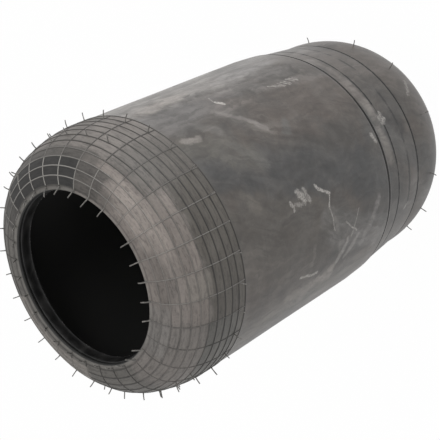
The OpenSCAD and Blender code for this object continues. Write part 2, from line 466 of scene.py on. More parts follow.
    def chafer(self) -> list[np.ndarray]:
        """The chafer's closed outline, with a fine flash line at its toe.

        Returns:
            The points, each as radius and depth from the lip.
        """
        core = self.core_c
        toe_depth = core[1] + self.layers.seat_off
        toe = np.array([self.seat_r + self.toe_r, toe_depth - self.toe_r])
        end = self.line_a + 360
        flash = [[0.0, -1.1], [-0.3, -0.75], [-0.42, -0.45], [-0.3, -0.2]]
        start = self.chafer_edge
        edge = [np.array([self.seat_r + 0.25, start]), np.array([self.seat_r, start + 0.3])]
        edge += [np.array([self.seat_r, start + 3 * i]) for i in range(1, 3)]
        edge += [np.array([self.seat_r + across, toe[1] + down]) for across, down in flash]
        fold = self.layers.chafer_in
        back = arc(core, fold, end, self.edge_a(fold, start), 16)
        return edge + arc(toe, self.toe_r, 180, 270, 8) + [polar(core, self.layers.liner_out, end)] + back

    def placed(self, points: list[np.ndarray]) -> list[np.ndarray]:
        """Points of this end as [radius, height] in the bellows' own frame."""
        if self.upper:
            return [np.array([p[0], HEIGHT - p[1]]) for p in points]
        return [np.array([p[0], p[1]]) for p in points]


@dataclass(frozen=True)
class Bellows:
    """The sizes that the sub-assemblies share."""

    top: BeadEnd = field(default_factory=lambda: BeadEnd(80, 34.4, 106, SLEEVE_R, True))
    bottom: BeadEnd = field(default_factory=lambda: BeadEnd(65, 24, 87.5, 117, False))
    step_h: float = 146.0
    step_w: float = 1.0
    narrow: float = 1.4
    taper_up: float = 24.0
    land: float = 12.5
    ring_h: float = 0.6
    rib_h: float = 0.45
    rib_w: float = 1.1
    lines: tuple[float, float] = (126.0, 84.0)

    @property
    def shoulder_len(self) -> float:
        """Length from the nose to the last ring."""
        return self.top.nose_len + self.top.crown_len + self.land

    @property
    def ring_pitch(self) -> float:
        """Spacing of the rings along the shoulder."""
        return self.shoulder_len / RING_COUNT

    @property
    def step_r(self) -> float:
        """Radius just below the step."""
        return self.top.wall_r - self.narrow - self.step_w

    def tail_r(self, height: float) -> float:
        """Radius of the tail at a height, down to its lower mould line."""
        share = (height - self.lines[1]) / (self.step_h - self.lines[1])
        return self.bottom.wall_r + (self.step_r - self.bottom.wall_r) * max(share, 0.0)

    def taper(self, sunk: float) -> list[np.ndarray]:
        """The taper from the sleeve to the lower mould line, sunk under the outline below the step."""
        return [
            np.array([self.top.wall_r - sunk, self.step_h + self.taper_up]),
            np.array([self.step_r - sunk, self.step_h]),
            np.array([self.bottom.wall_r - sunk, self.lines[1]]),
        ]


# Helpers that write node trees


class Brush:
    """Adds nodes to a tree and joins them by the names of their sockets."""

    def __init__(self, tree: Tree) -> None:
        """Keeps the tree that the nodes go into."""
        self.tree = tree

    def feed(self, socket: Socket, value: object) -> None:
        """Links a socket, or writes its value.

        Args:
            socket: The input socket.
            value: Another socket, or a plain value.
        """
        if isinstance(value, Socket):
            self.tree.links.new(value, socket)
        else:
            socket.default_value = value

    def add(self, kind: str, inputs: dict | None = None, **settings: object) -> Node:
        """Adds one node.

        Args:
            kind: Blender's name of the node type.
            inputs: Values or sockets, by the input's name or number.
            **settings: Properties of the node.

        Returns:
            The new node.
        """
        node = self.tree.nodes.new(kind)
        for name, value in settings.items():
            setattr(node, name, value)
        for name, value in (inputs or {}).items():
            self.feed(node.inputs[name], value)
        return node

    def out(self, kind: str, inputs: dict | None = None, **settings: object) -> Socket:
        """The first output of a new node."""
        return self.add(kind, inputs, **settings).outputs[0]

    def maths(self, operation: str, *values: object) -> Socket:
        """A maths node's result."""
        return self.out("ShaderNodeMath", dict(enumerate(values)), operation=operation)

    times = partialmethod(maths, "MULTIPLY")
    plus = partialmethod(maths, "ADD")
    minus = partialmethod(maths, "SUBTRACT")
    over = partialmethod(maths, "DIVIDE")
    times_plus = partialmethod(maths, "MULTIPLY_ADD")

    def limit(self, value: object) -> Socket:
        """A value held between 0 and 1."""
        return self.out("ShaderNodeClamp", {"Value": value})

    def vector(self, operation: str, *values: object, output: str = "Vector") -> Socket:
        """A vector maths node's result."""
        node = self.add("ShaderNodeVectorMath", dict(enumerate(values)), operation=operation)
        return node.outputs[output]

    def scaled(self, vector: Socket, by: Socket) -> Socket:
        """A vector times a value."""
        return self.out("ShaderNodeVectorMath", {0: vector, "Scale": by}, operation="SCALE")

    def named(self, name: str, kind: str = "FLOAT_VECTOR") -> Socket:
        """A point attribute's value in a recipe."""
        return self.out("GeometryNodeInputNamedAttribute", {"Name": name}, data_type=kind)

    def store(self, geometry: Socket, name: str, value: Socket, kind: str) -> Socket:
        """A geometry with a value kept on its points."""
        inputs = {"Geometry": geometry, "Name": name, "Value": value}
        return self.out("GeometryNodeStoreNamedAttribute", inputs, data_type=kind, domain="POINT")

    def luck(self, kind: str, output: int, seed: Socket, ends: dict) -> Socket:
        """A random value for each point."""
        return self.add("FunctionNodeRandomValue", {**ends, 8: seed}, data_type=kind).outputs[output]

    def smooth(
        self, value: object, low: object, high: object, first: object = 0.0, last: object = 1.0
    ) -> Socket:
        """A value eased from one range to another.

        Args:
            value: The value to ease.
            low: Where the change starts.
            high: Where it ends.
            first: The result up to low.
            last: The result from high on.

        Returns:
            The eased value.
        """
        inputs = {"Value": value, "From Min": low, "From Max": high, "To Min": first, "To Max": last}
        node = self.add("ShaderNodeMapRange", inputs, interpolation_type="SMOOTHSTEP")
        return node.outputs[0]

    def noise(
        self, place: object, scale: float, detail: float = 3.0, roughness: float = 0.5,
        distortion: float = 0.0,
    ) -> Socket:
        """A noise pattern's value."""
        inputs = {
            "Vector": place, "Scale": scale, "Detail": detail, "Roughness": roughness,
            "Distortion": distortion,
        }
        return self.out("ShaderNodeTexNoise", inputs)

    def mix(self, share: object, first: object, second: object, way: str = "MIX") -> Socket:
        """Two colours mixed."""
        settings = {"data_type": "RGBA", "blend_type": way}
        return self.add("ShaderNodeMix", {0: share, 6: first, 7: second}, **settings).outputs[2]

    def lerp(self, share: object, first: object, second: object) -> Socket:
        """Two values mixed."""
        return self.out("ShaderNodeMix", {0: share, 2: first, 3: second}, data_type="FLOAT")

    def xyz(self, x: object, y: object, z: object = 0.0) -> Socket:
        """A vector from its parts."""
        return self.out("ShaderNodeCombineXYZ", {0: x, 1: y, 2: z})

    def parts(self, vector: Socket) -> tuple[Socket, ...]:
        """The three parts of a vector."""
        return tuple(self.add("ShaderNodeSeparateXYZ", {0: vector}).outputs)

    def attribute(self, name: str, output: str = "Vector") -> Socket:
        """A mesh attribute's value in a shader."""
        return self.add("ShaderNodeAttribute", attribute_name=name).outputs[output]

    def bump(self, shader: Node, height: Socket, strength: float, distance: float) -> None:
        """Gives a shader a bump of a height in metres."""
        inputs = {"Strength": strength, "Distance": distance, "Height": height}
        self.feed(shader.inputs["Normal"], self.out("ShaderNodeBump", inputs))

    def group(self, tree: Tree, inputs: dict) -> Node:
        """Places a node group with its own values."""
        return self.add("ShaderNodeGroup", inputs, node_tree=tree)


class SharedEffect:
    """A shader node group with named inputs and outputs."""

    KINDS = {"value": FLOAT, "vector": "NodeSocketVector", "colour": "NodeSocketColor"}

    def __init__(self, name: str, inputs: dict[str, str], outputs: dict[str, str]) -> None:
        """Makes the empty group.

        Args:
            name: Name of the group.
            inputs: Kind of each input, by name.
            outputs: Kind of each output, by name.
        """
        self.tree = bpy.data.node_groups.new(name, "ShaderNodeTree")
        for label, kind in inputs.items():
            self.tree.interface.new_socket(name=label, in_out="INPUT", socket_type=self.KINDS[kind])
        for label, kind in outputs.items():
            self.tree.interface.new_socket(name=label, in_out="OUTPUT", socket_type=self.KINDS[kind])
        self.brush = Brush(self.tree)
        self.given = self.brush.add("NodeGroupInput").outputs
        self.result = self.brush.add("NodeGroupOutput").inputs

    def give(self, label: str, value: Socket) -> None:
        """Joins a value to one of the group's outputs."""
        self.brush.feed(self.result[label], value)


class Effects:
    """The node groups that several finishes use, each built once."""

    def __init__(self) -> None:
        """Builds the groups."""
        self.mottle = self._mottle()
        self.patch = self._patch()
        self.scuff = self._scuff()
        self.wipe = self._wipe()
        self.line = self._line()
        self.grid = self._grid()
        self.grain = self._grain()
        self.dust = self._dust()

    @staticmethod
    def _mottle() -> Tree:
        """Cloudy variation between two colours.

        Returns:
            The node group's tree.
        """
        inputs = {"Place": "vector", "Scale": "value", "First": "colour", "Second": "colour"}
        inputs["Spread"] = "value"
        effect = SharedEffect("mottle", inputs, {"Color": "colour", "Mask": "value"})
        brush, given = effect.brush, effect.given
        wide = brush.noise(given["Place"], 1.0, 4.0, 0.55, 0.4)
        brush.feed(wide.node.inputs["Scale"], given["Scale"])
        low = brush.minus(0.5, given["Spread"])
        high = brush.plus(0.5, given["Spread"])
        mask = brush.smooth(wide, low, high)
        effect.give("Mask", mask)
        effect.give("Color", brush.mix(mask, given["First"], given["Second"]))
        return effect.tree

    @staticmethod
    def _patch() -> Tree:
        """Mask of a block of mould cells, in ribs round and rings along.

        Returns:
            The node group's tree.
        """
        labels = ["Around", "Along", "Centre", "Half", "Low", "High", "Softness", "Wander"]
        effect = SharedEffect("cell_patch", dict.fromkeys(labels, "value"), {"Mask": "value"})
        brush, given = effect.brush, effect.given
        away = brush.minus(given["Around"], given["Centre"])
        away = brush.maths("WRAP", away, RIB_COUNT / 2, -RIB_COUNT / 2)
        away = brush.plus(brush.maths("ABSOLUTE", away), given["Wander"])
        outer = brush.plus(given["Half"], given["Softness"])
        inner = brush.minus(given["Half"], given["Softness"])
        round_mask = brush.smooth(away, inner, outer, 1.0, 0.0)
        place = brush.plus(given["Along"], given["Wander"])
        rise = brush.smooth(
            place, brush.minus(given["Low"], given["Softness"]),
            brush.plus(given["Low"], given["Softness"]),
        )
        fall = brush.smooth(
            place, brush.minus(given["High"], given["Softness"]),
            brush.plus(given["High"], given["Softness"]), 1.0, 0.0,
        )
        effect.give("Mask", brush.times(brush.times(rise, fall), round_mask))
        return effect.tree

    @staticmethod
    def _stroke(effect: SharedEffect) -> tuple[Socket, ...]:
        """The nearest distance to a straight stroke, and a place's run along it.

        Args:
            effect: The group, with inputs Place, From and To.

        Returns:
            The distance, the offset from the start and the stroke's vector.
        """
        brush, given = effect.brush, effect.given
        offset = brush.vector("SUBTRACT", given["Place"], given["From"])
        run = brush.vector("SUBTRACT", given["To"], given["From"])
        reach = brush.vector("DOT_PRODUCT", offset, run, output="Value")
        share = brush.limit(brush.over(reach, brush.vector("DOT_PRODUCT", run, run, output="Value")))
        missed = brush.vector("SUBTRACT", offset, brush.scaled(run, share))
        away = brush.vector("LENGTH", missed, output="Value")
        return away, offset, run

    @classmethod
    def _scuff(cls) -> Tree:
        """Mask of one straight rub mark on the unrolled sleeve, in millimetres.

        Returns:
            The node group's tree.
        """
        inputs = {"Place": "vector", "From": "vector", "To": "vector", "Width": "value", "Wander": "value"}
        effect = SharedEffect("scuff_mark", inputs, {"Mask": "value"})
        brush, given = effect.brush, effect.given
        away = brush.plus(cls._stroke(effect)[0], given["Wander"])
        core = brush.times(given["Width"], 0.35)
        effect.give("Mask", brush.smooth(away, core, given["Width"], 1.0, 0.0))
        return effect.tree

    @classmethod
    def _wipe(cls) -> Tree:
        """Mask of one broad wipe of dust from a hand or cloth, in a few wipes with painted sheen, broken up
        by streaks.

        Returns:
            The node group's tree.
        """
        inputs = {
            "Place": "vector", "From": "vector", "To": "vector", "Width": "value", "Streaks": "value",
            "Streak Share": "value", "Wander": "value",
        }
        effect = SharedEffect("dust_and_sheen_wipe", inputs, {"Mask": "value"})
        brush, given = effect.brush, effect.given
        away = brush.times_plus(given["Wander"], given["Width"], cls._stroke(effect)[0])
        core = brush.times(given["Width"], 0.25)
        edge = brush.smooth(away, core, given["Width"], 1.0, 0.0)
        streaked = brush.lerp(given["Streak Share"], 1.0, given["Streaks"])
        effect.give("Mask", brush.times(edge, streaked))
        return effect.tree

    @staticmethod
    def _line() -> Tree:
        """Mask of the painted shade of one thin mould line round the axis, uneven and in places missing.

        Returns:
            The node group's tree.
        """
        labels = ["Height", "At", "Width", "Wobble", "Nicks", "Whole"]
        effect = SharedEffect("mould_line", dict.fromkeys(labels, "value"), {"Mask": "value"})
        brush, given = effect.brush, effect.given
        away = brush.plus(brush.minus(given["Height"], given["At"]), given["Wobble"])
        away = brush.plus(brush.maths("ABSOLUTE", away), given["Nicks"])
        core = brush.times(given["Width"], 0.5)
        mask = brush.smooth(away, core, given["Width"], 1.0, 0.0)
        effect.give("Mask", brush.times(mask, given["Whole"]))
        return effect.tree

    @staticmethod
    def _grid() -> Tree:
        """Mask of the painted shade along the feet of the ribs and rings, and a random value for each mould
        cell.

        Returns:
            The node group's tree.
        """
        labels = ["Around", "Along", "Radius", "Ring Pitch", "Line Width"]
        outputs = {"Line": "value", "Cell": "value"}
        effect = SharedEffect("mould_grid", dict.fromkeys(labels, "value"), outputs)
        brush, given = effect.brush, effect.given
        rib = brush.minus(given["Around"], brush.maths("ROUND", given["Around"]))
        rib = brush.times(brush.maths("ABSOLUTE", rib), given["Radius"])
        rib = brush.times(rib, math.radians(RIB_STEP))
        ring = brush.minus(given["Along"], brush.maths("ROUND", given["Along"]))
        ring = brush.times(brush.maths("ABSOLUTE", ring), given["Ring Pitch"])
        near = brush.maths("MINIMUM", rib, ring)
        effect.give("Line", brush.smooth(near, 0.5, given["Line Width"], 1.0, 0.0))
        cell = brush.xyz(brush.maths("FLOOR", given["Around"]), brush.maths("FLOOR", given["Along"]), 0.5)
        noise = brush.add("ShaderNodeTexWhiteNoise", {"Vector": cell}, noise_dimensions="3D")
        effect.give("Cell", noise.outputs["Value"])
        return effect.tree

    @staticmethod
    def _grain() -> Tree:
        """Height of the fine moulded grain of rubber.

        Returns:
            The node group's tree.
        """
        inputs = {"Place": "vector", "Coarse": "value", "Fine": "value", "Share": "value"}
        effect = SharedEffect("rubber_grain", inputs, {"Height": "value"})
        brush, given = effect.brush, effect.given
        coarse = brush.noise(given["Place"], 1.0, 4.0, 0.6)
        brush.feed(coarse.node.inputs["Scale"], given["Coarse"])
        fine = brush.noise(given["Place"], 1.0, 3.0, 0.6)
        brush.feed(fine.node.inputs["Scale"], given["Fine"])
        effect.give("Height", brush.lerp(given["Share"], coarse, fine))
        return effect.tree

    @staticmethod
    def _dust() -> Tree:
        """Dust that settles on a colour and dulls it.

        Returns:
            The node group's tree.
        """
        inputs = {"Place": "vector", "Base": "colour", "Dust": "colour", "Scale": "value", "Amount": "value"}
        effect = SharedEffect("settled_dust", inputs, {"Color": "colour", "Mask": "value"})
        brush, given = effect.brush, effect.given
        cloud = brush.noise(given["Place"], 1.0, 5.0, 0.62, 0.8)
        brush.feed(cloud.node.inputs["Scale"], given["Scale"])
        mask = brush.times(brush.smooth(cloud, 0.38, 0.72), given["Amount"])
        effect.give("Mask", mask)
        effect.give("Color", brush.mix(mask, given["Base"], given["Dust"]))
        return effect.tree


class Recipe:
    """A Geometry Nodes tree with named inputs, run once and kept as a plain mesh."""

    def __init__(self, name: str, inputs: dict[str, str]) -> None:
        """Makes the tree with its inputs.

        Args:
            name: Name of the tree.
            inputs: Socket type of each input, by name.
        """
        self.tree = bpy.data.node_groups.new(name, "GeometryNodeTree")
        self.tree.is_modifier = True
        face = self.tree.interface
        face.new_socket(name="Geometry", in_out="INPUT", socket_type="NodeSocketGeometry")
        self.keys = {}
        for label, kind in {**inputs, "Finish": "NodeSocketMaterial"}.items():
            self.keys[label] = face.new_socket(name=label, in_out="INPUT", socket_type=kind).identifier
        face.new_socket(name="Geometry", in_out="OUTPUT", socket_type="NodeSocketGeometry")
        self.brush = Brush(self.tree)
        self.given = self.brush.add("NodeGroupInput").outputs

    def end(self, geometry: Socket) -> None:
        """Realizes the result and gives it its material.

        Args:
            geometry: The geometry that the recipe has made.
        """
        real = self.brush.out("GeometryNodeRealizeInstances", {0: geometry})
        smooth = self.brush.out("GeometryNodeSetShadeSmooth", {0: real, "Shade Smooth": True})
        inputs = {"Geometry": smooth, "Material": self.given["Finish"]}
        dressed = self.brush.out("GeometryNodeSetMaterial", inputs)
        self.brush.add("NodeGroupOutput", {0: dressed})

    def make(self, name: str, source: Mesh, values: dict) -> Piece:
        """Runs the tree on a source mesh.

        Args:
            name: Name of the finished piece.
            source: The mesh that the tree starts from.
            values: Values of the inputs, by name.

        Returns:
            The piece, with a plain mesh and no modifier.
        """
        piece = linked(name, source)
        modifier = piece.modifiers.new("recipe", "NODES")
        modifier.node_group = self.tree
        for label, value in values.items():
            modifier[self.keys[label]] = value
        graph = bpy.context.evaluated_depsgraph_get()
        evaluated = piece.evaluated_get(graph)
        mesh = bpy.data.meshes.new_from_object(evaluated, preserve_all_data_layers=True, depsgraph=graph)
        piece.modifiers.remove(modifier)
        piece.data = mesh
        mesh.name = name
        bpy.data.meshes.remove(source)
        return piece


class RevolveRecipe(Recipe):
    """Sweeps a closed outline once round the axis."""

    def __init__(self) -> None:
        """Builds the tree."""
        super().__init__("revolve_outline", {"Columns": INTEGER, "Path Radius": FLOAT})
        brush, given = self.brush, self.given
        outline = brush.out("GeometryNodeMeshToCurve", {0: given["Geometry"]})
        inputs = {"Resolution": given["Columns"], "Radius": given["Path Radius"]}
        path = brush.out("GeometryNodeCurvePrimitiveCircle", inputs, mode="RADIUS")
        sweep = brush.add("GeometryNodeCurveToMesh", {"Curve": path, "Profile Curve": outline})
        self.end(sweep.outputs[0])

    def sweep(self, name: str, outline: Outline, path_r: float, columns: int, finish: Material) -> Piece:
        """Sweeps an outline along a path of a radius in millimetres."""
        values = {"Columns": columns, "Path Radius": path_r * MM, "Finish": finish}
        return self.make(name, outline.mesh(name + "_outline", path_r), values)


class RibRecipe(Recipe):
    """Sweeps a rounded strip along a path and repeats it round the axis."""

    def __init__(self) -> None:
        """Builds the tree."""
        inputs = {"Count": INTEGER, "Width": FLOAT, "Height": FLOAT, "Sides": INTEGER}
        super().__init__("mould_ribs", inputs)
        brush, given = self.brush, self.given
        path = brush.out("GeometryNodeMeshToCurve", {0: given["Geometry"]})
        ring = {"Resolution": given["Sides"], "Radius": 1.0}
        section = brush.out("GeometryNodeCurvePrimitiveCircle", ring, mode="RADIUS")
        half = brush.times(given["Width"], 0.5)
        scale = brush.xyz(half, given["Height"], 1.0)
        flat = brush.out("GeometryNodeTransform", {"Geometry": section, "Scale": scale})
        inputs = {"Curve": path, "Profile Curve": flat, "Fill Caps": True}
        strip = brush.out("GeometryNodeCurveToMesh", inputs)
        points = brush.out("GeometryNodePoints", {"Count": given["Count"]})
        index = brush.out("GeometryNodeInputIndex")
        step = brush.over(2 * math.pi, given["Count"])
        turn = brush.xyz(0.0, 0.0, brush.times(index, step))
        inputs = {"Points": points, "Instance": strip, "Rotation": turn}
        self.end(brush.out("GeometryNodeInstanceOnPoints", inputs))


class WhiskerRecipe(Recipe):
    """Stands a bent, tapered rubber thread on each point."""

    def __init__(self) -> None:
        """Builds the tree."""
        sizes = ("Length", "Shortest", "Tip Radius", "Root Radius", "Bend")
        super().__init__("vent_whiskers", {**dict.fromkeys(sizes, FLOAT), "Seed": INTEGER})
        brush, given = self.brush, self.given
        ends = {"Start": (0.0, 0.0, 0.0), "End": (0.0, 0.0, 1.0)}
        line = brush.out("GeometryNodeCurvePrimitiveLine", ends)
        line = brush.out("GeometryNodeResampleCurve", {"Curve": line, "Count": 8})
        share = brush.add("GeometryNodeSplineParameter").outputs["Factor"]
        line = brush.store(line, "share", share, "FLOAT")
        radius = brush.smooth(share, 0.0, 0.22, given["Root Radius"], given["Tip Radius"])
        line = brush.out("GeometryNodeSetCurveRadius", {"Curve": line, "Radius": radius})
        section = brush.out("GeometryNodeCurvePrimitiveCircle", {"Resolution": 6, "Radius": 1.0})
        inputs = {"Curve": line, "Profile Curve": section, "Scale": radius, "Fill Caps": True}
        thread = brush.out("GeometryNodeCurveToMesh", inputs)

        low = brush.times(given["Length"], given["Shortest"])
        length = brush.luck("FLOAT", 1, given["Seed"], {2: low, 3: given["Length"]})
        ends = {0: (-1.0, -1.0, -1.0), 1: (1.0, 1.0, 1.0)}
        lean = brush.luck("FLOAT_VECTOR", 0, brush.plus(given["Seed"], 1), ends)
        droop = brush.named("droop")
        bend = brush.vector("ADD", brush.scaled(lean, given["Bend"]), droop)
        roots = brush.store(given["Geometry"], "bend", brush.scaled(bend, length), "FLOAT_VECTOR")

        turn = brush.out("FunctionNodeAlignRotationToVector", {"Vector": brush.named("stand")}, axis="Z")
        size = brush.xyz(1.0, 1.0, length)
        inputs = {"Points": roots, "Instance": thread, "Rotation": turn, "Scale": size}
        placed = brush.out("GeometryNodeInstanceOnPoints", inputs)
        real = brush.out("GeometryNodeRealizeInstances", {0: placed})
        bend = brush.named("bend")
        curl = brush.maths("POWER", brush.named("share", "FLOAT"), 2.0)
        inputs = {"Geometry": real, "Offset": brush.scaled(bend, curl)}
        self.end(brush.out("GeometryNodeSetPosition", inputs))


class StudRecipe(Recipe):
    """Sets a small rubber dome on some of the points."""

    def __init__(self) -> None:
        """Builds the tree."""
        inputs = {"Radius": FLOAT, "Share": FLOAT, "Seed": INTEGER}
        super().__init__("rubber_studs", inputs)
        brush, given = self.brush, self.given
        ball = {"Radius": given["Radius"], "Subdivisions": 2}
        dome = brush.out("GeometryNodeMeshIcoSphere", ball)
        keep = brush.luck("BOOLEAN", 3, given["Seed"], {6: given["Share"]})
        size = brush.luck("FLOAT", 1, given["Seed"], {2: 0.6, 3: 1.0})
        inputs = {"Points": given["Geometry"], "Selection": keep, "Instance": dome, "Scale": size}
        self.end(brush.out("GeometryNodeInstanceOnPoints", inputs))


# Meshes


class Outline:
    """A closed outline of [radius, height] points, each with its place along the mould and its relief."""

    def __init__(self) -> None:
        """Starts empty."""
        self.points: list[np.ndarray] = []
        self.along: list[float] = []
        self.relief: list[float] = []

    def add(self, point: np.ndarray, along: float = 0.0, relief: float = 0.0) -> None:
        """Adds a point, unless it repeats the one before.

        Args:
            point: Radius and height in millimetres.
            along: Place along the mould, in rings from the nose.
            relief: How far up a ridge the point lies, 0 to 1.
        """
        if self.points and np.linalg.norm(point - self.points[-1]) < 1e-4:
            return
        self.points.append(np.array(point, float))
        self.along.append(along)
        self.relief.append(relief)

    @classmethod
    def through(cls, points: list[np.ndarray]) -> Outline:
        """An outline through plain points.

        Args:
            points: The points in their order.

        Returns:
            The outline.
        """
        outline = cls()
        for point in points:
            outline.add(point)
        return outline

    def mesh(self, name: str, centre_r: float) -> Mesh:
        """The outline as a loop of edges, ready to be swept.

        Args:
            name: Name of the mesh.
            centre_r: Radius of the sweep's path.

        Returns:
            The mesh, in metres.
        """
        mesh = bpy.data.meshes.new(name)
        rows = [((p[0] - centre_r) * MM, -p[1] * MM, 0.0) for p in self.points]
        count = len(rows)
        mesh.from_pydata(rows, [(i, (i + 1) % count) for i in range(count)], [])
        for label, values in ((ALONG, self.along), (RELIEF, self.relief)):
            mesh.attributes.new(label, "FLOAT", "POINT").data.foreach_set("value", values)
        return mesh


class MeshWork:
    """Closing steps that every revolved or repeated mesh goes through."""

    @staticmethod
    def coordinates(mesh: Mesh) -> np.ndarray:
        """All vertex coordinates of a mesh, one row each.

        Args:
            mesh: The mesh to read.

        Returns:
            The coordinates in metres.
        """
        flat = np.empty(len(mesh.vertices) * 3, np.float32)
        mesh.vertices.foreach_get("co", flat)
        return flat.reshape(-1, 3).astype(float)

    @staticmethod
    def turn_outwards(mesh: Mesh) -> None:
        """Merges doubles and points every face outwards.

        Args:
            mesh: The mesh, which is changed in place.
        """
        work = bmesh.new()
        work.from_mesh(mesh)
        bmesh.ops.remove_doubles(work, verts=work.verts, dist=1e-6)
        bmesh.ops.recalc_face_normals(work, faces=work.faces)
        work.to_mesh(mesh)
        work.free()

    @classmethod
    def measure(cls, mesh: Mesh) -> None:
        """Writes the rest place and the mould map, in ribs round and rings along.

        Args:
            mesh: A mesh that may carry the attribute along.
        """
        place = cls.coordinates(mesh)
        rest = mesh.attributes.new(REST_PLACE, "FLOAT_VECTOR", "POINT")
        rest.data.foreach_set("vector", place.astype(np.float32).ravel())
        corners = np.empty(len(mesh.loops), np.int32)
        mesh.loops.foreach_get("vertex_index", corners)
        totals = np.empty(len(mesh.polygons), np.int32)
        mesh.polygons.foreach_get("loop_total", totals)
        around = np.degrees(np.arctan2(place[:, 1], place[:, 0])) / RIB_STEP % RIB_COUNT
        around = around[corners]
        starts = np.r_[0, np.cumsum(totals)[:-1]]
        widest = np.maximum.reduceat(around, starts)
        narrowest = np.minimum.reduceat(around, starts)
        wraps = np.repeat(widest - narrowest > RIB_COUNT / 2, totals)
        around = np.where(wraps & (around < RIB_COUNT / 2), around + RIB_COUNT, around)
        along = np.zeros(len(mesh.vertices), np.float32)
        if ALONG in mesh.attributes:
            mesh.attributes[ALONG].data.foreach_get("value", along)
        layer = mesh.uv_layers.new(name=MOULD_MAP)
        pairs = np.column_stack([around, along[corners]]).astype(np.float32)
        layer.data.foreach_set("uv", pairs.ravel())

    @classmethod
    def close(cls, piece: Piece, sharp: float = 60.0) -> Piece:
        """Turns a piece's faces outwards, measures it and marks its sharp edges.

        Args:
            piece: The piece.
            sharp: Angle in degrees past which an edge stays sharp.

        Returns:
            The same piece.
        """
        cls.turn_outwards(piece.data)
        cls.measure(piece.data)
        piece.data.set_sharp_from_angle(angle=math.radians(sharp))
        piece.data.update()
        return piece


# Finishes


@dataclass(frozen=True)
class DustAndShadePatch:
    """A block of mould cells with its own dust, painted highlight on its ridges and painted shade at their
    feet, in ribs round and rings along.
    """

    colour: Colour
    centre: float
    half: float
    low: float
    high: float
    strength: float = 1.0
    # Painted highlight with dust on the ring and rib crests, and the strength of the painted shade at the
    # ridges' feet and on shaded crests
    ring_dust_and_highlight: float = 0.0
    rib_dust_and_highlight: float = 0.0
    lines: float = 0.6
    soft: float = 0.06
    wander: float = 0.0


@dataclass(frozen=True)
class Mark:
    """A mark on the sleeve between two places, in ribs round and millimetres up."""

    start: Place
    end: Place
    width: float

    def unrolled(self) -> dict[str, tuple[float, float, float]]:
        """Both ends on the unrolled sleeve in millimetres, its seam at the middle of the hidden side.

        Returns:
            The From and To values of the mark's node group.
        """
        first = (self.start[0] - SEAM) % RIB_COUNT
        last = first + self.end[0] - self.start[0]
        return {"From": (first * RIB_PITCH, self.start[1], 0.0), "To": (last * RIB_PITCH, self.end[1], 0.0)}


@dataclass(frozen=True)
class Scuff(Mark):
    """A rub mark."""

    strength: float
    ragged: float = 0.3


@dataclass(frozen=True)
class Wipe(Mark):
    """A broad soft mark."""

    colour: Colour
    strength: float = 0.7
    streak: float = 0.5
    lay: Lay = Lay.AXIAL


@dataclass(frozen=True)
class MouldLine:
    """A thin line of painted shade round the axis along a mould line, with the share of it that is missing.
    """

    height: float
    width: float
    strength: float
    missing: float


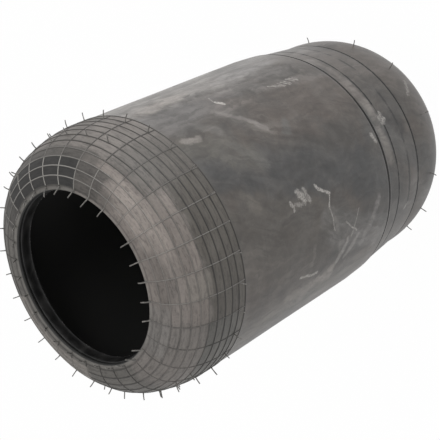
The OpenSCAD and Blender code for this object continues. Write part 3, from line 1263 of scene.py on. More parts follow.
@dataclass(frozen=True)
class CoverRubber:
    """Moulded cover rubber under dust, with wipes and rub marks from storage, painted shade at the ridges'
    feet and in the grooves, and painted highlight and sheen on the ridge crests and a few light wipes.
    """

    dark: Colour = tone(62, 60, 58)
    brown: Colour = tone(76, 71, 67)
    film: Colour = tone(98, 96, 94)
    chalk: Colour = tone(180, 176, 171)
    shoulder: Colour = tone(92, 89, 85)
    # Dust on the ridge crests with a painted highlight
    ridge_dust_and_highlight: Colour = tone(146, 143, 138)
    # Painted shade at the ridges' feet and on shaded crests, with wear where dust is rubbed off
    ridge_shade_and_wear: Colour = tone(40, 38, 36)
    # Painted shade of the grooves, the crack under the step and the mould lines
    groove_shade: Colour = tone(18, 17, 16)
    seat: Colour = tone(34, 34, 33)
    patches: tuple[DustAndShadePatch, ...] = (
        DustAndShadePatch(tone(100, 97, 93), 6.3, 2, -0.5, 11.2, 0.8, 0.1, 0.1, 0.5, 0.25, 0.5),
        DustAndShadePatch(tone(116, 109, 104), -5.1, 3.95, -0.6, 6.2, 1, 0.3, 0.4, 0.4, 0.35, 0.4),
        DustAndShadePatch(tone(134, 126, 120), -4.6, 1.7, 0.6, 3.6, 0.7, 0.5, 0.5, 0.1, 0.5, 0.6),
        DustAndShadePatch(tone(92, 86, 82), -6.9, 1.4, 0.4, 2.6, 0.5, 0.5, 0.5, 0.1, 0.4, 0.9),
        DustAndShadePatch(tone(80, 76, 71), -5.9, 3.2, 6.2, 11.2, 1, 0, 0.5, 0.8, 0.4, 0.9),
        DustAndShadePatch(tone(108, 103, 99), -0.3, 2.5, 4, 11.2, 0.9, 0, 0.05, 0.7, 0.3, 0.3),
        DustAndShadePatch(tone(86, 82, 78), -3.1, 0.95, 3.8, 11.2, 0.85, 0.1, 0.2, 0.6, 0.3, 0.4),
        DustAndShadePatch(tone(88, 84, 80), 0.6, 0.6, 3.8, 11.2, 0.6, 0.1, 0.1, 0.6, 0.3, 0.4),
        DustAndShadePatch(tone(106, 101, 97), -10.8, 1.8, -0.4, 6, 0.9, 0.1, 0.1, 0.38, 0.25, 0.4),
        DustAndShadePatch(tone(86, 84, 80), -10.8, 1.8, 6, 10.2, 0.9, 0, 0.1, 0.9, 0.05, 0),
        DustAndShadePatch(tone(118, 113, 107), -7.6, 0.5, 3.8, 6.6, 0.6, 0.2, 0.2, 0.4, 0.15, 0.3),
        DustAndShadePatch(tone(108, 105, 102), -9.5, 1.3, -0.4, 2, 0.6, 0.1, 0.1, 0.2, 0.2, 0.3),
        DustAndShadePatch(tone(70, 67, 64), -1.7, 0.8, -0.2, 3, 0.85, 0.6, 0.7, 0.3, 0.1, 0.4),
        DustAndShadePatch(tone(84, 80, 76), -2.7, 0.6, -0.2, 1.7, 0.6, 0.4, 0.4, 0.3, 0.2, 0.6),
        DustAndShadePatch(tone(72, 69, 66), 0.6, 2.4, 3, 4.3, 0.75, 0.5, 0.5, 0.4, 0.2, 0.5),
        DustAndShadePatch(tone(43, 42, 41), 1.5, 2.5, 0.05, 3, 1, 0.9, 0.95, 0, 0.03, 0),
        DustAndShadePatch(tone(62, 60, 58), 4.6, 0.7, 0.05, 3, 0.7, 0.6, 0.8, 0.3, 0.05, 0.1),
        DustAndShadePatch(tone(120, 115, 110), 11.5, 2.6, 0.4, 7, 0.9, 0.4, 0.4, 0.2, 0.1, 0.2),
    )
    wipes: tuple[Wipe, ...] = (
        Wipe((23.4, 360), (22.6, 262), 62, tone(76, 73, 69), 0.7, 0.2),
        Wipe((26.4, 262), (26.6, 150), 40, tone(80, 74, 70), 0.85, 0.25),
        Wipe((25.7, 362), (22.9, 158), 34, tone(61, 62, 63), 0.9, 0.1),
        Wipe((34.3, 372), (33.9, 60), 84, tone(98, 96, 94), 0.6, 0.7),
        # The next three light wipes are partly dust and partly painted sheen along the sleeve's edge
        Wipe((30.9, 372), (30.6, 150), 74, tone(124, 123, 121), 0.85, 0.35),
        Wipe((32.2, 362), (32, 150), 44, tone(160, 158, 155), 0.8, 0.5),
        Wipe((30.2, 366), (29.7, 250), 40, tone(136, 134, 132), 0.6, 0.6),
        Wipe((29.2, 351), (29.5, 290), 12, tone(148, 144, 140), 0.7, 0.5),
        Wipe((29.5, 290), (28.9, 236), 12, tone(132, 130, 128), 0.7, 0.5, Lay.SLANTED),
        Wipe((29.3, 232), (29.9, 160), 30, tone(122, 121, 121), 0.7, 0.6),
        Wipe((28.3, 372), (28, 300), 26, tone(108, 107, 107), 0.75, 0.4),
        Wipe((28.3, 300), (28.6, 180), 14, tone(104, 102, 101), 0.65, 0.6),
        Wipe((27.6, 305), (26.3, 273), 5.5, tone(126, 123, 121), 0.75, 0.3, Lay.SLANTED),
        Wipe((27.4, 335), (26.8, 323), 8, tone(106, 105, 103), 0.6, 0.4, Lay.SLANTED),
        Wipe((27.9, 300), (27.6, 262), 12, tone(104, 99, 96), 0.65, 0.6),
        Wipe((28.3, 288), (28, 258), 4, tone(76, 74, 74), 0.6, 0.3),
        Wipe((28.36, 257), (28, 178), 4.5, tone(80, 78, 76), 0.65, 0.4),
        Wipe((27.9, 238), (27.3, 152), 8, tone(102, 99, 97), 0.6, 0.7, Lay.SLANTED),
        Wipe((26.7, 366), (25.6, 316), 20, tone(90, 88, 83), 0.75, 0.4),
        Wipe((26.1, 323), (25.1, 302), 8, tone(88, 88, 86), 0.6, 0.4, Lay.SLANTED),
        Wipe((25.95, 333), (25.8, 325), 5.5, tone(64, 61, 58), 0.65, 0.2),
        Wipe((27.06, 360), (26.85, 345), 6, tone(140, 136, 132), 0.75, 0.4),
        Wipe((27.7, 308), (26.2, 270), 15, tone(112, 109, 106), 0.55, 0.9, Lay.SLANTED),
        Wipe((26.2, 250), (25.85, 255), 7, tone(88, 90, 90), 0.6, 0.4),
        Wipe((24.5, 346), (23.95, 338), 8, tone(96, 92, 87), 0.7, 0.4, Lay.SLANTED),
        Wipe((22.4, 250), (20.9, 158), 15, tone(98, 98, 97), 0.75, 0.7, Lay.SLANTED),
        Wipe((21.5, 242), (20.3, 160), 16, tone(112, 111, 110), 0.75, 0.7, Lay.SLANTED),
        Wipe((21.25, 221), (20.27, 232), 4.5, tone(144, 142, 140), 0.75, 0.4, Lay.SLANTED),
        Wipe((21.11, 203), (20.35, 219), 4, tone(136, 134, 132), 0.7, 0.4, Lay.SLANTED),
        Wipe((22.04, 168), (20.6, 196), 6, tone(124, 122, 121), 0.7, 0.5, Lay.SLANTED),
        Wipe((22.38, 246), (20.61, 230), 3.6, tone(112, 110, 107), 0.6, 0.5, Lay.SLANTED),
        Wipe((21.66, 274), (21.03, 280), 3.4, tone(114, 110, 106), 0.6, 0.4, Lay.SLANTED),
        Wipe((20, 279), (19.95, 240), 12, tone(146, 141, 136), 0.8, 0.5, Lay.SLANTED),
        Wipe((20, 307), (19.7, 272), 10, tone(138, 133, 128), 0.7, 0.6, Lay.SLANTED),
        Wipe((19.6, 372), (19, 150), 34, tone(98, 95, 91), 0.8, 0.6),
        Wipe((22.4, 372), (21, 300), 28, tone(90, 86, 82), 0.7, 0.4),
        Wipe((28.6, 138), (26.6, 62), 44, tone(86, 82, 79), 0.8, 0.4),
        Wipe((24.6, 144), (22.6, 78), 24, tone(70, 71, 71), 0.7, 0.2),
        Wipe((21, 138), (20.6, 92), 12, tone(96, 94, 92), 0.7, 0.6),
        Wipe((21.4, 90), (20.4, 58), 16, tone(106, 104, 102), 0.7, 0.6),
        Wipe((30.7, 140), (30.4, 40), 46, tone(108, 106, 104), 0.8, 0.5),
        Wipe((28.3, 136), (25.6, 135), 9, tone(118, 115, 112), 0.6, 0.5),
        Wipe((25.6, 135), (23, 136), 10, tone(124, 121, 117), 0.7, 0.5),
        Wipe((24.4, 107), (24.1, 100), 15, tone(20, 19, 18), 0.95, 0.1),
    )
    scuffs: tuple[Scuff, ...] = (
        Scuff((28.45, 289.6), (28.2, 291), 1.2, 0.4, 0.2),
        Scuff((28.1, 290), (27.85, 285.5), 2.2, 0.95, 0.2),
        Scuff((23.69, 258.5), (23.42, 252.1), 2, 0.8, 0.3),
        Scuff((23.42, 252.1), (23.2, 243.1), 2.2, 0.85, 0.3),
        Scuff((23.2, 243.1), (22.76, 246.3), 1.3, 0.8, 0.1),
        Scuff((22.76, 246.3), (21.8, 242), 1.1, 0.5, 0.1),
        Scuff((23.78, 283.3), (23.61, 278.4), 4.2, 0.6, 0.9),
        Scuff((23.71, 274.5), (23.52, 273.5), 4.4, 0.5, 0.9),
        Scuff((23.61, 281.6), (23.38, 277.3), 4.6, 0.65, 0.9),
        Scuff((23.5, 272.5), (23.32, 270.6), 3.6, 0.5, 0.8),
        Scuff((23.4, 290), (23.3, 283), 3.4, 0.4, 0.9),
        Scuff((23.54, 297), (23.43, 295.6), 2.6, 0.6, 0.6),
        Scuff((23.38, 293.6), (23.22, 294.3), 2, 0.5, 0.6),
        Scuff((21.88, 223.8), (21.48, 213.9), 1.1, 0.5, 0.1),
        Scuff((21.5, 213.7), (21.29, 206.4), 1.4, 0.7, 0.1),
        Scuff((22.1, 202.6), (21.15, 214.8), 1.1, 0.45, 0.1),
        Scuff((20.68, 291.9), (20.43, 265.4), 2.2, 0.7, 0.4),
        Scuff((24.9, 123), (24.72, 127.5), 4.2, 0.55, 0.9),
        Scuff((24.66, 121), (24.5, 126), 4, 0.6, 0.9),
        Scuff((24.33, 155), (24.05, 151.5), 3.6, 0.6, 0.7),
        Scuff((25.6, 48.5), (25.1, 61), 4, 0.35, 1.2),
        Scuff((20.63, 108.5), (20.78, 102.3), 3, 0.4, 0.6),
    )
    mould_lines: tuple[MouldLine, ...] = (
        # Painted shade along the step's crack and the mould lines round the tail
        MouldLine(146.3, 2.4, 0.9, 0.3),
        MouldLine(126, 2.2, 0.95, 0.45),
        MouldLine(103, 2.2, 0.8, 0.5),
        MouldLine(84, 2, 0.95, 0.4),
    )

    def all_scuffs(self) -> list[Scuff]:
        """The marks of the seen side, a row of short ticks, and more of their kind behind.

        Returns:
            The rub marks in the order in which they are drawn.
        """
        marks = list(self.scuffs)
        luck = random.Random(29)
        for step in range(9):
            around, height = 27.78 + luck.uniform(-0.16, 0.16), 224.0 - 4.4 * step
            end = (around - luck.uniform(0.1, 0.3), height - luck.uniform(3.0, 7.0))
            marks.append(Scuff((around, height), end, luck.uniform(1.2, 2.0), luck.uniform(0.3, 0.6), 0.4))
        luck = random.Random(41)
        for _ in range(10):
            around, height = luck.uniform(1.5, 17.5), luck.uniform(95.0, 350.0)
            turn, length = luck.uniform(0.0, math.pi), luck.uniform(4.0, 30.0)
            reach = length * math.cos(turn) / RIB_PITCH
            around = self._beside_seam(around, reach, 0.0)
            end = (around + reach, height + length * math.sin(turn))
            marks.append(Scuff((around, height), end, luck.uniform(0.9, 4.0), luck.uniform(0.3, 0.7), 0.8))
        return marks

    def all_wipes(self) -> list[Wipe]:
        """The wipes of the seen side and more of their kind behind.

        Returns:
            The wipes in the order in which they are drawn.
        """
        marks = list(self.wipes)
        luck = random.Random(17)
        shades = (tone(112, 110, 108), tone(92, 88, 84), tone(62, 62, 62), tone(104, 102, 100))
        for step in range(9):
            around, height = 3.2 + 1.7 * step + luck.uniform(-0.5, 0.5), luck.uniform(170.0, 350.0)
            length = luck.uniform(40.0, 110.0)
            reach = luck.uniform(-1.5, 1.5)
            width, shade = luck.uniform(10.0, 42.0), shades[step % len(shades)]
            around = self._beside_seam(around, reach, width)
            start, end = (around, height), (around + reach, height - length)
            marks.append(Wipe(start, end, width, shade, luck.uniform(0.5, 0.8), luck.uniform(0.3, 0.8)))
        return marks

    @staticmethod
    def _beside_seam(around: float, reach: float, width: float) -> float:
        """Moves the start of a hidden mark round until the mark is clear of the sleeve's seam.

        Args:
            around: Start of the mark, in ribs round.
            reach: How far it runs round, in ribs.
            width: Its width in millimetres.

        Returns:
            The start, clear of the seam.
        """
        margin = 1.3 + width / (2 * RIB_PITCH)
        low, high = around + min(0.0, reach), around + max(0.0, reach)
        if low + high < 2 * SEAM:
            return around + min(0.0, SEAM - margin - high)
        return around + max(0.0, SEAM + margin - low)


def new_material(name: str) -> tuple[Material, Brush, Node]:
    """A node material that holds only its Principled shader.

    Args:
        name: Name of the material.

    Returns:
        The material, a brush for its tree and the shader node.
    """
    material = bpy.data.materials.new(name)
    material.use_nodes = True
    material.node_tree.nodes.clear()
    brush = Brush(material.node_tree)
    shader = brush.add("ShaderNodeBsdfPrincipled")
    brush.add("ShaderNodeOutputMaterial", {"Surface": shader.outputs[0]})
    return material, brush, shader


@dataclass
class CoverPainter:
    """Lays the cover's colours in the tree of one material."""

    rubber: CoverRubber
    brush: Brush
    effects: Effects
    ridge: Ridge
    ring_pitch: float

    def __post_init__(self) -> None:
        """Reads the place at rest, and the ribs round and rings along."""
        self.place = self.brush.attribute(REST_PLACE)
        mould = self.brush.out("ShaderNodeUVMap", uv_map=MOULD_MAP)
        self.around, self.along, _ = self.brush.parts(mould)

    def _bent(self, spot: Socket, scale: float, reach: float) -> Socket:
        """A place on the unrolled sleeve, moved by a slow noise so that marks get natural outlines.

        Args:
            spot: The place in millimetres.
            scale: Scale of the noise.
            reach: Range of the noise in millimetres.

        Returns:
            The moved place.
        """
        brush = self.brush
        inputs = {"Vector": self.place, "Scale": scale, "Detail": 3.0, "Roughness": 0.6}
        drift = brush.add("ShaderNodeTexNoise", inputs).outputs["Color"]
        drift = brush.vector("SUBTRACT", drift, (0.5, 0.5, 0.5))
        return brush.vector("MULTIPLY_ADD", drift, (reach, reach, 0.0), spot)

    def shoulder(self) -> Socket:
        """The ribbed shoulder's colour, patch by patch.

        Returns:
            The colour.
        """
        brush, effects, ridge = self.brush, self.effects, self.ridge
        place, around, along = self.place, self.around, self.along
        x, y, _ = brush.parts(place)
        radius = brush.maths("SQRT", brush.plus(brush.maths("POWER", x, 2), brush.maths("POWER", y, 2)))
        radius = brush.over(radius, MM)
        wander = brush.minus(brush.noise(place, 60.0, 4.0, 0.6), 0.5)
        # Each patch sets its dust colour, its crests' painted highlight and the strength of its painted
        # shade at the ridges
        colour, light, lines = self.rubber.shoulder, 0.0, 0.6
        for patch in self.rubber.patches:
            inputs = {
                "Around": around, "Along": along, "Centre": patch.centre, "Half": patch.half,
                "Low": patch.low, "High": patch.high, "Softness": patch.soft,
                "Wander": brush.times(wander, patch.wander * 2),
            }
            mask = brush.group(effects.patch, inputs).outputs[0]
            uneven = brush.times_plus(wander, 1.4 * patch.wander + 0.35, 1.0)
            share = brush.limit(brush.times(mask, brush.times(uneven, patch.strength)))
            colour = brush.mix(share, colour, patch.colour)
            light = brush.lerp(share, light, patch.ring_dust_and_highlight if ridge is Ridge.RING else patch.rib_dust_and_highlight)
            lines = brush.lerp(share, lines, patch.lines)
        inputs = {"Around": around, "Along": along, "Radius": radius, "Line Width": 1.15}
        inputs["Ring Pitch"] = self.ring_pitch
        grid = brush.group(effects.grid, inputs)
        rubbed = brush.xyz(brush.times(around, 1.3), brush.times(along, 3.2), 0.0)
        rubbed = brush.minus(brush.noise(rubbed, 1.0, 6.0, 0.65, 0.4), 0.5)
        speckle = brush.minus(brush.noise(place, 420.0, 3.0, 0.6), 0.5)
        shade = brush.times_plus(grid.outputs["Cell"], 0.2, 0.9)
        shade = brush.times_plus(rubbed, 0.55, shade)
        shade = brush.times_plus(speckle, 0.5, shade)
        streaky = brush.xyz(brush.times(around, 2.2), brush.times(along, 3.4), 5.0)
        smudge = brush.smooth(brush.noise(streaky, 1.0, 6.0, 0.72, 0.6), 0.47, 0.64)
        shade = brush.times_plus(smudge, -0.42, brush.plus(shade, 0.13))
        colour = brush.mix(1.0, colour, brush.xyz(shade, shade, shade), "MULTIPLY")
        broken = brush.smooth(rubbed, -0.25, 0.05, 0.55, 1.0)
        lines = brush.times(lines, broken)
        # Painted shade along the feet of the ribs and rings
        foot_shade = brush.times(grid.outputs["Line"], lines)
        colour = brush.mix(foot_shade, colour, self.rubber.ridge_shade_and_wear)
        # Ridge crests get painted shade and wear, then painted highlight with dust
        top = 1.0 if ridge is Ridge.RIB else brush.attribute(RELIEF, "Fac")
        dull = brush.mix(brush.times(lines, 0.75), colour, self.rubber.ridge_shade_and_wear)
        crest = brush.mix(light, dull, self.rubber.ridge_dust_and_highlight)
        colour = brush.mix(top, colour, crest)
        # The lip's rim is lightened with the ridge crests' light colour
        lip = brush.smooth(along, -0.12, -0.3)
        colour = brush.mix(brush.times(lip, 0.22), colour, self.rubber.ridge_dust_and_highlight)
        return brush.mix(brush.smooth(along, -0.46, -0.62), colour, self.rubber.seat)

    def _streaks(self, spot: Socket, wander: Socket, lay: Lay) -> Socket:
        """Long streaks on the unrolled sleeve in one lay, bent by a slow noise.

        Args:
            spot: The place in millimetres.
            wander: The noise that bends the streaks.
            lay: The slant of the streaks.

        Returns:
            A mask of the streaks.
        """
        brush = self.brush
        side, length, _ = brush.parts(spot)
        side = brush.times_plus(length, -lay.value, side)
        side = brush.times_plus(wander, 14.0, side)
        place = brush.xyz(brush.times(side, 0.16), brush.times(length, 0.02), lay.value * 9)
        return brush.smooth(brush.noise(place, 1.0, 5.0, 0.62, 0.5), 0.34, 0.66)

    def sleeve(self) -> tuple[Socket, Socket]:
        """The plain sleeve's colour, and the mask of its rub marks.

        Returns:
            The colour and the mask.
        """
        brush, effects, place = self.brush, self.effects, self.place
        height = brush.over(brush.parts(place)[2], MM)
        inputs = {"Place": place, "Scale": 16.0, "Spread": 0.12}
        inputs |= {"First": self.rubber.dark, "Second": self.rubber.brown}
        colour = brush.group(effects.mottle, inputs).outputs["Color"]
        unrolled = brush.maths("WRAP", brush.minus(self.around, SEAM), RIB_COUNT, 0.0)
        flat = brush.xyz(brush.times(unrolled, RIB_PITCH), height, 0.0)
        wander = brush.minus(brush.noise(place, 40.0, 4.0, 0.62, 0.5), 0.5)
        wander = brush.times(wander, 1.6)
        streaks = {lay: self._streaks(flat, wander, lay) for lay in Lay}
        spot = self._bent(flat, 30.0, 22.0)
        for wipe in self.rubber.all_wipes():
            inputs = {
                "Place": spot, **wipe.unrolled(), "Width": wipe.width, "Streaks": streaks[wipe.lay],
                "Streak Share": wipe.streak, "Wander": wander,
            }
            mask = brush.group(effects.wipe, inputs).outputs[0]
            colour = brush.mix(brush.times(mask, wipe.strength), colour, wipe.colour)
        inputs = {"Place": place, "Base": colour, "Dust": self.rubber.film, "Scale": 38.0, "Amount": 0.3}
        colour = brush.group(effects.dust, inputs).outputs["Color"]
        clouds = brush.minus(brush.noise(place, 64.0, 6.0, 0.7, 0.8), 0.5)
        lean = brush.smooth(brush.noise(place, 13.0, 2.0), 0.45, 0.55)
        smears = brush.lerp(lean, streaks[Lay.AXIAL], streaks[Lay.SLANTED])
        shade = brush.times_plus(clouds, 1.05, brush.times_plus(smears, 0.3, 0.85))
        colour = brush.mix(1.0, colour, brush.xyz(shade, shade, shade), "MULTIPLY")
        ragged = brush.minus(brush.noise(place, 260.0, 4.0, 0.65), 0.47)
        colour = self._mould_lines(colour, height, wander, ragged)
        spot = self._bent(flat, 90.0, 4.0)
        marks = 0.0
        for scuff in self.rubber.all_scuffs():
            inputs = {
                "Place": spot, **scuff.unrolled(), "Width": scuff.width,
                "Wander": brush.times(ragged, scuff.ragged * 8),
            }
            mask = brush.group(effects.scuff, inputs).outputs[0]
            marks = brush.maths("MAXIMUM", marks, brush.times(mask, scuff.strength))
        chalky = brush.smooth(brush.noise(place, 620.0, 3.0, 0.6), 0.38, 0.58, 0.35, 1.0)
        marks = brush.times(marks, chalky)
        return brush.mix(marks, colour, self.rubber.chalk), marks

    def _mould_lines(self, colour: Socket, height: Socket, wander: Socket, ragged: Socket) -> Socket:
        """Paints the shade of the mould lines, the grooves and the step's crack over a colour, as thin dark
        lines.

        Args:
            colour: The colour under the lines.
            height: The height in millimetres.
            wander: A slow noise.
            ragged: A fine noise.

        Returns:
            The colour with the lines.
        """
        brush = self.brush
        gaps = brush.noise(self.place, 36.0, 4.0, 0.6)
        wobble = brush.times(wander, 0.9)
        nicks = brush.times(ragged, 3.6)
        for line in self.rubber.mould_lines:
            inputs = {
                "Height": height, "At": line.height, "Width": line.width, "Wobble": wobble, "Nicks": nicks,
                "Whole": brush.smooth(gaps, line.missing - 0.06, line.missing + 0.04),
            }
            mask = brush.group(self.effects.line, inputs).outputs[0]
            colour = brush.mix(brush.times(mask, line.strength), colour, self.rubber.groove_shade)
        # Painted shade in the recessed points of the grooves and the crack under the step, broken in places
        groove = brush.smooth(brush.attribute(RELIEF, "Fac"), -0.3, -0.8)
        worn = brush.smooth(gaps, 0.4, 0.5, 0.35, 0.95)
        groove_shade_share = brush.lerp(brush.smooth(height, 138.0, 142.0), worn, 0.85)
        colour = brush.mix(brush.times(groove, groove_shade_share), colour, self.rubber.groove_shade)
        return brush.mix(1.0, colour, (1.03, 1.0, 0.975, 1.0), "MULTIPLY")

    def dress(self, shader: Node) -> None:
        """Feeds the colour, gloss and grain to the shader.

        Args:
            shader: The material's shader node.
        """
        brush = self.brush
        colour, rough = self.shoulder(), 0.52
        if self.ridge is Ridge.RING:
            past = brush.smooth(self.along, RING_COUNT + 0.08, RING_COUNT + 0.16)
            sleeve, marks = self.sleeve()
            colour = brush.mix(past, colour, sleeve)
            rough = brush.times_plus(marks, 0.2, brush.lerp(past, 0.55, 0.46))
        brush.feed(shader.inputs["Base Color"], colour)
        brush.feed(shader.inputs["Roughness"], rough)
        inputs = {"Place": self.place, "Coarse": 130.0, "Fine": 900.0, "Share": 0.4}
        brush.bump(shader, brush.group(self.effects.grain, inputs).outputs["Height"], 0.35, 0.0006)


@dataclass(frozen=True)
class PlainRubber:
    """Rubber of one kind with settled dust and a fine grain."""

    name: str
    base: Colour
    dust: Colour
    amount: float
    roughness: float
    scale: float = 60.0
    grain: float = 0.3

    def material(self, effects: Effects) -> Material:
        """Builds the material from the shared dust and grain.

        Args:
            effects: The shared node groups.

        Returns:
            The material.
        """
        material, brush, shader = new_material(self.name)
        place = brush.attribute(REST_PLACE)
        inputs = {
            "Place": place, "Base": self.base, "Dust": self.dust, "Scale": self.scale,
            "Amount": self.amount,
        }
        dust = brush.group(effects.dust, inputs)
        brush.feed(shader.inputs["Base Color"], dust.outputs["Color"])
        rough = brush.times_plus(dust.outputs["Mask"], 0.25, self.roughness)
        brush.feed(shader.inputs["Roughness"], rough)
        inputs = {"Place": place, "Coarse": 220.0, "Fine": 1100.0, "Share": 0.5}
        grain = brush.group(effects.grain, inputs).outputs["Height"]
        brush.bump(shader, grain, self.grain, 0.0004)
        return material


@dataclass(frozen=True)
class CordFabric:
    """Rubberised cord fabric, its cords laid on a slant."""

    name: str
    cord: Colour = tone(150, 134, 108)
    gum: Colour = tone(52, 47, 42)
    slant: float = 1.0
    pitch: float = 1.3

    def material(self, effects: Effects) -> Material:
        """Builds the material from the place on the wall.

        Args:
            effects: The shared node groups.

        Returns:
            The material.
        """
        material, brush, shader = new_material(self.name)
        place = brush.add("ShaderNodeTexCoord").outputs["Object"]
        x, y, z = brush.parts(place)
        turn = brush.times(brush.maths("ARCTAN2", y, x), SLEEVE_R)
        rise = brush.over(z, MM)
        slant = brush.times_plus(rise, self.slant, turn)
        phase = brush.times(slant, 2 * math.pi / self.pitch)
        wave = brush.times_plus(brush.maths("SINE", phase), 0.5, 0.5)
        inputs = {"Place": place, "Base": self.gum, "Dust": self.cord, "Scale": 90.0, "Amount": 0.5}
        worn = brush.group(effects.dust, inputs).outputs["Color"]
        brush.feed(shader.inputs["Base Color"], brush.mix(brush.smooth(wave, 0.35, 0.8), worn, self.cord))
        brush.feed(shader.inputs["Roughness"], brush.lerp(wave, 0.85, 0.65))
        brush.bump(shader, wave, 0.7, 0.0005)
        return material


@dataclass(frozen=True)
class BeadWire:
    """Bronze-coated bead wire with drawing lines and dull spots."""

    name: str
    bright: Colour = tone(196, 168, 122)
    dull: Colour = tone(134, 112, 84)

    def material(self, effects: Effects) -> Material:
        """Builds the material from the shared mottle.

        Args:
            effects: The shared node groups.

        Returns:
            The material.
        """
        material, brush, shader = new_material(self.name)
        place = brush.add("ShaderNodeTexCoord").outputs["Object"]
        inputs = {"Place": place, "Scale": 140.0, "First": self.dull, "Second": self.bright, "Spread": 0.2}
        coat = brush.group(effects.mottle, inputs)
        brush.feed(shader.inputs["Base Color"], coat.outputs["Color"])
        shader.inputs["Metallic"].default_value = 1.0
        brush.feed(shader.inputs["Roughness"], brush.lerp(coat.outputs["Mask"], 0.48, 0.3))
        drawn = brush.noise(brush.vector("MULTIPLY", place, (1.0, 1.0, 12.0)), 500.0, 2.0)
        brush.bump(shader, drawn, 0.2, 0.0001)
        return material


class Finishes:
    """Every finish of the bellows, built once."""

    def __init__(self, ring_pitch: float) -> None:
        """Builds the materials.

        Args:
            ring_pitch: Spacing of the mould rings in millimetres.
        """
        effects = Effects()
        self.cover = self._cover("cover_skin_rubber", effects, Ridge.RING, ring_pitch)
        self.ribs = self._cover("cover_rib_rubber", effects, Ridge.RIB, ring_pitch)
        thread, settled = tone(92, 90, 87), tone(146, 143, 138)
        self.whisker = PlainRubber("whisker_thread", thread, settled, 0.9, 0.6, 300.0).material(effects)
        black, film = tone(22, 22, 22), tone(55, 54, 53)
        self.chafer = PlainRubber("chafer_seat", black, film, 0.8, 0.42, 48.0).material(effects)
        black, film = tone(36, 36, 35), tone(50, 49, 48)
        self.liner = PlainRubber("liner_black", black, film, 0.5, 0.75, 14.0).material(effects)
        gum, film = tone(46, 45, 44), tone(66, 64, 61)
        self.filler = PlainRubber("filler_gum", gum, film, 0.5, 0.7, 50.0).material(effects)
        self.outer_ply = CordFabric("outer_ply_cord", slant=1.0).material(effects)
        self.inner_ply = CordFabric("inner_ply_cord", slant=-1.0).material(effects)
        self.wrap = CordFabric("core_wrap_cord", slant=2.2, pitch=1.0).material(effects)
        self.wire = BeadWire("bead_wire_bronze").material(effects)

    @staticmethod
    def _cover(name: str, effects: Effects, ridge: Ridge, ring_pitch: float) -> Material:
        """The cover's material for one kind of ridge.

        Args:
            name: Name of the material.
            effects: The shared node groups.
            ridge: The kind of ridge.
            ring_pitch: Distance from ring to ring in millimetres.

        Returns:
            The material.
        """
        material, brush, shader = new_material(name)
        CoverPainter(CoverRubber(), brush, effects, ridge, ring_pitch).dress(shader)
        return material


# Sub-assemblies


